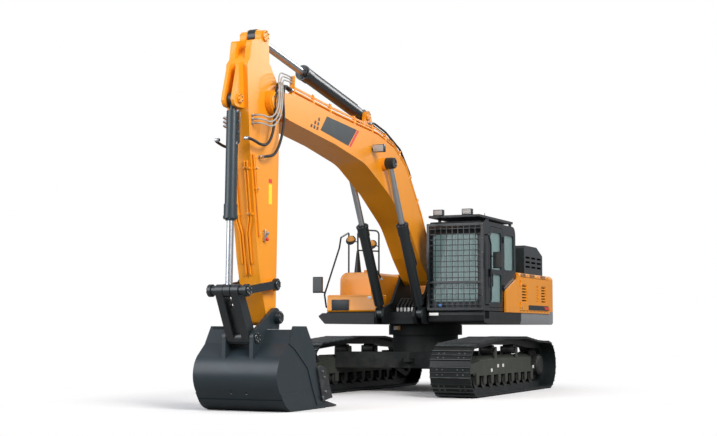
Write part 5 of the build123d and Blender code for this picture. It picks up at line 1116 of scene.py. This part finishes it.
def addCabFit():
    bm, finish = startPiece("blackPaint", "lampGlass", "whitePlate", "blueTag", "boltSteel")
    face = max(Vector(v).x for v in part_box("roof_guard"))
    meshLow, meshHigh = [Vector(v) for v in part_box("front_guard")]
    rim, (lowZ, highZ) = cabFit["rim"], cabFit["lampSpan"]
    for lowY, highY in cabFit["lamps"]:
        addBlock(bm, (face - 0.004, lowY + rim, lowZ + rim), (face + 0.006, highY - rim, highZ - rim),
                 finish["lampGlass"], 0.004)
        for y, aim in ((lowY, -1), (highY, 1)):
            spot = (face - cabFit["nutBack"], y, (lowZ + highZ) / 2)
            addNut(bm, spot, (0, aim, 0), finish["boltSteel"], cabFit["lampNut"])
    addLathe(bm, cabFit["aerial"], (0, 0, 1), cabFit["aerialRows"], 14, finish["blackPaint"])
    addFrontPlates(bm, meshHigh.x, cabFit["plates"], finish)
    insetY, insetZ = cabFit["guardInset"]
    steps = cabFit["guardNuts"] - 1
    for number in range(steps + 1):
        z = meshLow.z + insetZ + (meshHigh.z - meshLow.z - 2 * insetZ) * number / steps
        for y in (meshLow.y + insetY, meshHigh.y - insetY):
            addNut(bm, (meshHigh.x - 0.001, y, z), (1, 0, 0), finish["boltSteel"], cabFit["guardNut"])
    finishPiece("cabFit", bm, finish, bodyOf["cab_shell"])


# Door: pull handle and latch that ride the door
doorFit = {"place": 0.690, "handle": (2.000, 2.250), "face": 1.588, "out": 0.045, "bend": 0.02,
           "radius": 0.011, "latchHalf": 0.030, "latch": (1.910, 1.960), "latchOut": 0.012}


def addDoorFit():
    bm, finish = startPiece("blackPaint", "silverPlate")
    x, face, half = doorFit["place"], doorFit["face"], doorFit["latchHalf"]
    low, high = doorFit["handle"]
    out = face + doorFit["out"]
    path = roundedPath([(x, face, low), (x, out, low), (x, out, high), (x, face, high)], doorFit["bend"], 4)
    addTube(bm, path, doorFit["radius"], finish["blackPaint"])
    low, high = doorFit["latch"]
    addBlock(bm, (x - half, face - 0.002, low), (x + half, face + doorFit["latchOut"], high),
             finish["silverPlate"], 0.004)
    finishPiece("doorFit", bm, finish, bodyOf["cab_door"])


# Seat: blocks with run in x, place across, half width, heights, finish, rounding and lean; levers and knobs
seatFit = {"middle": 1.055, "floor": 1.605, "blocks": (
    ((-0.35, 0.25), 0, 0.19, (0, 0.30), "darkPlate", 0.02, 0),
    ((-0.33, 0.28), 0, 0.2565, (0.30, 0.40), "tealPad", 0.040, 0),
    ((-0.375, -0.265), 0, 0.2375, (0.40, 1.04), "tealPad", 0.040, -0.17),
    ((-0.445, -0.355), 0, 0.133, (1.05, 1.21), "seatCloth", 0.030, 0),
    ((-0.26, 0.22), 0.31825, 0.050, (0, 0.56), "darkPlate", 0.022, 0),
    ((0.56, 0.60), 0.085, 0.055, (0.02, 0.16), "blackPaint", 0.006, 0.5)),
    "leverAcross": 0.31825, "lever": ((0.17, 0.55), (0.18, 0.66), (0.21, 0.72)), "leverRadius": 0.009,
    "knob": (0.205, 0.70), "knobAim": (0.2, 0, 1), "knobSize": (0.060, 0.022)}


def addSeat():
    bm, finish = startPiece("seatCloth", "darkPlate", "blackPaint", "tealPad")
    middle, floor, black = seatFit["middle"], seatFit["floor"], finish["blackPaint"]
    for (back, front), across, half, (low, high), material, edge, lean in seatFit["blocks"]:
        # Blocks off the middle stand on both sides
        for side in bothSides if across else (1,):
            y = middle + side * across
            addBlock(bm, (back, y - half, floor + low), (front, y + half, floor + high), finish[material],
                     edge, Matrix.Rotation(lean, 4, "Y"))
    for side in bothSides:
        y = middle + side * seatFit["leverAcross"]
        path = roundedPath([(x, y, floor + z) for x, z in seatFit["lever"]], 0.04, 4)
        addTube(bm, path, seatFit["leverRadius"], black, 8)
        x, z = seatFit["knob"]
        addDrum(bm, (x, y, floor + z), seatFit["knobAim"], *seatFit["knobSize"], black, 16, 0.008)
    finishPiece("seatDressed", bm, finish, bodyOf["seat_console"], ("seat_console",))


# Side doors: a dark strip with a red accent and a lock, which ride the door
doorMarks = {"strip": (-1.53, -2.95, 1.690, 1.590), "accentOut": 0.0014, "lock": (-1.10, 1.625),
             "lockSize": (0.006, 0.018),
             "accent": ((-2.62, 1.670), (-2.93, 1.670), (-2.93, 1.610), (-2.72, 1.610))}


def addDoorMarks():
    face = halfWidth["upper"]
    x, z = doorMarks["lock"]
    for side, node in zip(bothSides, ("left_side_door", "right_side_door")):
        bm, finish = startPiece("markAndShadePlate", "redStripe", "boltSteel")
        addFlankMark(bm, side, face, rectangle(*doorMarks["strip"]), finish["markAndShadePlate"])
        addFlankMark(bm, side, face + doorMarks["accentOut"], doorMarks["accent"], finish["redStripe"])
        addDrum(bm, (x, side * face, z), (0, side, 0), *doorMarks["lockSize"], finish["boltSteel"], 16, 0.002)
        finishPiece("doorMarks_" + node, bm, finish, bodyOf[node])


# Upper body: slots over the side doors as thin dark plates of painted shade, tank cap, toolbox plates, mirror
# backs and the ring's plate
upperFit = {"slotGroups": (-1.20, -1.78, -2.55), "slotHeights": (2.255, 2.278, 2.301), "slotHalf": 0.17,
            "slotTall": 0.011, "redLamp": (-2.998, 1.620, 0.022), "cap": (-0.10, -1.200, 2.316),
            "capRows": ((0, 0.062), (0.020, 0.062), (0.024, 0.055), (0.024, 0.050), (0.052, 0.050),
                        (0.058, 0.044), (0.058, 0)), "boxFace": 1.150,
            "boxPlates": (((-1.495, 1.560), (-1.130, 1.770), "markAndShadePlate"),
                          ((-0.730, 1.780), (-0.650, 1.830), "whitePlate")),
            "mirrorBacks": ((0.158, -1.555, 2.990), (0.158, -1.090, 2.890)), "mirrorRadius": 0.088,
            "mirrorRows": ((0, 1), (0.010, 0.92), (0.020, 0.6), (0.024, 0)), "ringRadius": 0.7215,
            "ringHeights": (1.190, 1.265), "ringThick": 0.003,
            "ringPlates": ((-0.64, -0.44, "whitePlate"), (-0.44, -0.36, "mirrorOrange"))}


def addUpperFit():
    bm, finish = startPiece("markAndShadePlate", "redStripe", "capGreen", "whitePlate", "mirrorOrange")
    face, half, tall = halfWidth["upper"], upperFit["slotHalf"], upperFit["slotTall"]
    for side in bothSides:
        for x in upperFit["slotGroups"]:
            # Each slot is a thin dark plate: painted shade in place of the opening
            for z in upperFit["slotHeights"]:
                addFlankMark(bm, side, face, rectangle(x + half, x - half, z, z + tall), finish["markAndShadePlate"])
        x, z, radius = upperFit["redLamp"]
        addDrum(bm, (x, side * face, z), (0, side, 0), 0.008, radius, finish["redStripe"], 18, 0.003)
    addLathe(bm, upperFit["cap"], (0, 0, 1), upperFit["capRows"], 28, finish["capGreen"])
    addFrontPlates(bm, upperFit["boxFace"], upperFit["boxPlates"], finish)
    mirrorRows = [(along, upperFit["mirrorRadius"] * wide) for along, wide in upperFit["mirrorRows"]]
    for spot in upperFit["mirrorBacks"]:
        addLathe(bm, spot, (1, 0, 0), mirrorRows, 28, finish["mirrorOrange"])
    radius = upperFit["ringRadius"]
    for start, stop, material in upperFit["ringPlates"]:
        middle = (start + stop) / 2
        corners = [(radius * cos(angle), radius * sin(angle), z)
                   for angle, z in rectangle(start, stop, *upperFit["ringHeights"])]
        addPlate(bm, corners, (cos(middle), sin(middle), 0), upperFit["ringThick"], finish[material])
    finishPiece("upperFit", bm, finish, bodyOf["platform"])


# Lamp on the boom's flank: a box with a clear face and a ribbed back; its size is depth, width and height
boomLamp = {"size": (0.095, 0.215, 0.135), "aim": (1, 0, -0.05), "shift": (0.03, 0.030, 0.06),
            "glass": (0.005, 0.010), "ribs": (-0.060, -0.030, 0.0, 0.030, 0.060),
            "rib": (0.011, 0.004, 0.040), "ribBack": 0.051}


# Box about its middle
def addBoxAt(bm, middle, half, material, edge, turn=None):
    addBlock(bm, middle - Vector(half), middle + Vector(half), material, edge, turn)


def addBoomLamp():
    bm, finish = startPiece("blackPaint", "lampGlass")
    black = finish["blackPaint"]
    low, high = [Vector(v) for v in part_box("work_lamp")]
    middle = (low + high) / 2
    depth, width, height = [size / 2 for size in boomLamp["size"]]
    ahead, across, up = boomLamp["shift"]
    centre = Vector((middle.x + ahead, low.y + across + width, middle.z + up))
    directions = frameAlong(boomLamp["aim"])
    basis = Matrix(directions).transposed().to_4x4()
    thin, rim = boomLamp["glass"]
    addBoxAt(bm, centre, (depth, width, height), black, 0.010, basis)
    addBoxAt(bm, centre + directions[0] * depth, (thin, width - rim, height - rim), finish["lampGlass"],
             0.003, basis)
    for shift in boomLamp["ribs"]:
        addBoxAt(bm, centre + Vector((-boomLamp["ribBack"], shift, 0)), boomLamp["rib"], black, 0.0)
    addBlock(bm, (middle.x - 0.030, low.y + 0.0004, centre.z - 0.030),
             (middle.x + 0.010, centre.y - width + 0.010, centre.z + 0.020), black, 0.004)
    finishPiece("boomLamp", bm, finish, bodyOf["work_lamp"], ("work_lamp",))


# Blank plates on the flanks of the track frames
frameFit = {"labels": ((0.88, 0.45), (0.51, 0.52), (0.21, 0.52), (-1.72, 0.45)), "labelHalf": (0.05, 0.03)}


def addFrameFit():
    bm, finish = startPiece("whitePlate", "silverPlate")
    long, tall = frameFit["labelHalf"]
    for side in bothSides:
        for x, z in frameFit["labels"]:
            addFlankMark(bm, side, halfWidth["trackFrame"], rectangle(x - long, x + long, z - tall, z + tall),
                         finish["whitePlate"])
    finishPiece("frameFit", bm, finish, bodyOf["center_frame"])


# Belt line of a track as the frame has it: runs and arcs of the rail, and the shoes' pitch
belt = {"span": 4.360, "pitch": 0.216, "rail": 0.110, "shoe": 0.020, "grouser": 0.020, "radius": 0.330,
        "carriers": (0.620, -0.650), "carrierTop": 0.915, "sag": 0.022, "gauge": 3.000, "arcSteps": 60,
        "boltAcross": (-0.240, -0.140, 0.140, 0.240), "boltAlong": (-0.045, 0.045), "boltSize": 0.032}


def beltLine():
    radius, top, sunk = belt["radius"], belt["carrierTop"], belt["sag"]
    centreZ = belt["grouser"] + belt["shoe"] + belt["rail"] + radius
    front, rear = Vector((belt["span"] / 2, centreZ)), Vector((-belt["span"] / 2, centreZ))
    first, last = belt["carriers"]
    middle = Vector(((first + last) / 2, top - sunk / 2))
    sag = Vector(((last + rear.x) / 2, (top + centreZ + radius) / 2 - sunk))

    def lift(centre, point, turn):
        reach = (point - centre).length
        spare = pi / 2 - atan2(radius, (reach**2 - radius**2) ** 0.5)
        return atan2(point.y - centre.y, point.x - centre.x) + turn * spare

    def arc(centre, start, stop):
        turns = [start + (stop - start) * k / belt["arcSteps"] for k in range(belt["arcSteps"] + 1)]
        return [centre + Vector((cos(turn), sin(turn))) * radius for turn in turns]

    line = [rear + Vector((0, -radius)), front + Vector((0, -radius))]
    line += arc(front, -pi / 2, lift(front, Vector((first, top)), -1))
    line += [Vector((first, top)), middle, Vector((last, top)), sag]
    return line + arc(rear, lift(rear, sag, 1), 1.5 * pi)


# Middle of each shoe on the line, with the directions along the line and off it
def beltPlaces():
    line = beltLine()
    lengths = [(b - a).length for a, b in zip(line, line[1:])]
    total = sum(lengths)
    count = round(total / belt["pitch"])
    places = []
    for number in range(count):
        distance = (number + 0.5) * total / count
        for a, b, length in zip(line, line[1:], lengths):
            if distance <= length:
                break
            distance -= length
        ahead = (b - a).normalized()
        places.append((a + ahead * distance, ahead, Vector((ahead.y, -ahead.x))))
    return places


# Rubbed steel along the tips of the shoes' bars, worn bare and also a painted highlight on the grouser edges:
# share of the pitch and half width; none under the track
grouserTips = {"bars": ((-0.42, 0.005), (0.0, 0.003), (0.42, 0.005)), "halfLong": 0.372, "thick": 0.0012,
               "sunk": 0.0004, "downward": -0.5}


def addGrouserWearHighlights():
    bm, finish = startPiece("rubbedHighlightSteel")
    height = belt["rail"] + belt["shoe"] + belt["grouser"] - grouserTips["sunk"]
    half = grouserTips["halfLong"]
    for place, ahead, out in beltPlaces():
        if out.y < grouserTips["downward"]:
            continue
        for side in bothSides:
            middle = side * belt["gauge"] / 2
            # Each strip is worn steel and a painted highlight on the grouser edge
            for share, wide in grouserTips["bars"]:
                tip = place + ahead * (share * belt["pitch"]) + out * height
                corners = [(tip.x + ahead.x * k, y, tip.y + ahead.y * k)
                           for k, y in rectangle(-wide, wide, middle - half, middle + half)]
                addPlate(bm, corners, (out.x, 0, out.y), grouserTips["thick"], finish["rubbedHighlightSteel"])
    finishPiece("grouserTips", bm, finish, bodyOf["center_frame"])


# Small repeated parts are set on points by geometry nodes: each point aims its copy and gives its size
repeatSpin = 1.05


def buildRepeatTree():
    tree, given, put = startGroup("GeometryNodeTree", "repeatOnPoints", [
        ("Points", "Geometry", None), ("Shape", "Object", None), ("Finish", "Material", None),
        ("Seed", "Int", None)],
        [("Parts", "Geometry")])
    shape = addNode(tree, "GeometryNodeObjectInfo")
    plug(tree, given["Shape"], shape.inputs["Object"])
    aim = addNode(tree, "GeometryNodeInputNamedAttribute", data_type="FLOAT_VECTOR")
    size = addNode(tree, "GeometryNodeInputNamedAttribute", data_type="FLOAT")
    for node, name in ((aim, "aim"), (size, "size")):
        node.inputs["Name"].default_value = name
    turn = addNode(tree, "FunctionNodeAlignRotationToVector", axis="Z")
    plug(tree, aim.outputs["Attribute"], turn.inputs["Vector"])
    chance = addNode(tree, "FunctionNodeRandomValue", data_type="FLOAT")
    chance.inputs[3].default_value = repeatSpin
    plug(tree, given["Seed"], chance.inputs["Seed"])
    spin = addNode(tree, "FunctionNodeAxisAngleToRotation")
    spin.inputs["Axis"].default_value = (0, 0, 1)
    plug(tree, chance.outputs[1], spin.inputs["Angle"])
    joined = addNode(tree, "FunctionNodeRotateRotation", rotation_space="LOCAL")
    plug(tree, turn.outputs[0], joined.inputs[0])
    plug(tree, spin.outputs[0], joined.inputs[1])
    copies = addNode(tree, "GeometryNodeInstanceOnPoints")
    for source, label in ((given["Points"], "Points"), (shape.outputs["Geometry"], "Instance"),
                          (joined.outputs[0], "Rotation"), (size.outputs["Attribute"], "Scale")):
        plug(tree, source, copies.inputs[label])
    real = addNode(tree, "GeometryNodeRealizeInstances")
    plug(tree, copies.outputs[0], real.inputs[0])
    coat = addNode(tree, "GeometryNodeSetMaterial")
    plug(tree, real.outputs[0], coat.inputs["Geometry"])
    plug(tree, given["Finish"], coat.inputs["Material"])
    plug(tree, coat.outputs[0], put["Parts"])
    return tree


# Bolts of unit width, a little sunk in their base and pointing up: sides and rows of each part
boltParts = {"hexBolt": ((14, ((0, 0.50), (0.11, 0.50), (0.15, 0.46))),
                         (6, ((0, 0.38), (0.38, 0.38), (0.46, 0.30)))),
             "shoeBolt": ((6, ((0, 0.46), (0.30, 0.46), (0.40, 0.36))),)}
boltSunk = 0.05


def boltShape(name, parts):
    bm = bmesh.new()
    for sides, rows in parts:
        addLathe(bm, (0, 0, -boltSunk), (0, 0, 1), rows, sides)
    mesh = bpy.data.meshes.new(name)
    bm.to_mesh(mesh)
    bm.free()
    return bpy.data.objects.new(name, mesh)


repeatTree = buildRepeatTree()
boltShapes = {name: boltShape(name, parts) for name, parts in boltParts.items()}


def repeatOnPoints(name, rows, shape, finishName, body, seed):
    mesh = bpy.data.meshes.new(name + "Points")
    mesh.from_pydata([row[0] for row in rows], [], [])
    aims = mesh.attributes.new("aim", "FLOAT_VECTOR", "POINT")
    aims.data.foreach_set("vector", [c for row in rows for c in Vector(row[1]).normalized()])
    sizes = mesh.attributes.new("size", "FLOAT", "POINT")
    sizes.data.foreach_set("value", [row[2] for row in rows])
    holder = addObject(name + "Points", mesh)
    modifier = holder.modifiers.new("repeat", "NODES")
    modifier.node_group = repeatTree
    items = repeatTree.interface.items_tree
    sockets = {item.name: item.identifier for item in items if item.in_out == "INPUT"}
    for label, value in (("Shape", boltShapes[shape]), ("Finish", finishes[finishName]), ("Seed", seed)):
        modifier[sockets[label]] = value
    graph = bpy.context.evaluated_depsgraph_get()
    made = bpy.data.meshes.new_from_object(holder.evaluated_get(graph))
    bpy.data.objects.remove(holder)
    made.polygons.foreach_set("use_smooth", [False] * len(made.polygons))
    piece = addObject(name, made)
    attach(piece, body)


def shoeBolts():
    rows = []
    lift = belt["rail"] + belt["shoe"]
    for place, ahead, out in beltPlaces():
        for side in bothSides:
            for across in belt["boltAcross"]:
                for along in belt["boltAlong"]:
                    spot = place + ahead * along + out * lift
                    y = side * belt["gauge"] / 2 + across
                    rows.append(((spot.x, y, spot.y), (out.x, 0, out.y), belt["boltSize"]))
    return rows


# Rows of bolts on the flanks of the upper body: front end, rear end and height
upperBoltRows = {"rows": ((-1.02, -2.90, 2.290), (-0.96, -2.90, 1.560)), "count": 9, "size": 0.022}


def upperBolts():
    steps = upperBoltRows["count"] - 1
    return [((front + (rear - front) * k / steps, side * halfWidth["upper"], z), (0, side, 0),
             upperBoltRows["size"])
            for side in bothSides for front, rear, z in upperBoltRows["rows"] for k in range(steps + 1)]


addBoomPipes()
addGearHoses()
addFootHoses()
addBoomMarks()
addPinCaps()
addLiftCaps()
addArmFit()
for ram in rams:
    addRamFit(ram)
addBucketFit()
addCabFit()
addDoorFit()
addSeat()
addUpperFit()
addDoorMarks()
addLiftHoses()
addBendHoses()
addBoomLamp()
addFrameFit()
addGrouserWearHighlights()
repeatOnPoints("shoeBolts", shoeBolts(), "shoeBolt", "boltSteel", bodyOf["center_frame"], 3)
repeatOnPoints("upperBolts", upperBolts(), "hexBolt", "boltSteel", bodyOf["platform"], 5)
print("pieces added")


# Pale floor that fades to white away from the machine and lights it only a little
def addFloor():
    half = studio["floorHalf"]
    mesh = bpy.data.meshes.new("studioFloor")
    mesh.from_pydata([(x, y, 0) for x, y in rectangle(-half, half, -half, half)], [], [(0, 1, 2, 3)])
    material, tree, shader, place = emptyMaterial("studioFloor")
    pale = studio["floor"]
    tone = mixColour(tree, noiseAt(tree, place, "floor"), pale, tuple(c * 0.99 for c in pale))
    plug(tree, tone, shader.inputs["Base Color"])
    shader.inputs["Roughness"].default_value = 0.9
    flat = addNode(tree, "ShaderNodeMapping")
    setInputs(flat, {"Location": studio["fadeShift"], "Scale": studio["fadeScale"]})
    plug(tree, place, flat.inputs["Vector"])
    reach = addNode(tree, "ShaderNodeVectorMath", operation="LENGTH")
    plug(tree, flat.outputs[0], reach.inputs[0])
    white = addNode(tree, "ShaderNodeEmission").outputs[0]
    fade = spread(tree, reach.outputs["Value"], *studio["fadeSpan"])
    dim = addNode(tree, "ShaderNodeBsdfDiffuse")
    dim.inputs["Color"].default_value = (*studio["bounce"], 1)
    cameraRay = addNode(tree, "ShaderNodeLightPath").outputs["Is Camera Ray"]
    seen = mixShader(tree, cameraRay, dim.outputs[0], mixShader(tree, fade, shader.outputs[0], white))
    plug(tree, seen, tree.nodes["Material Output"].inputs["Surface"])
    mesh.materials.append(material)
    floor = addObject("studioFloor", mesh)


addFloor()
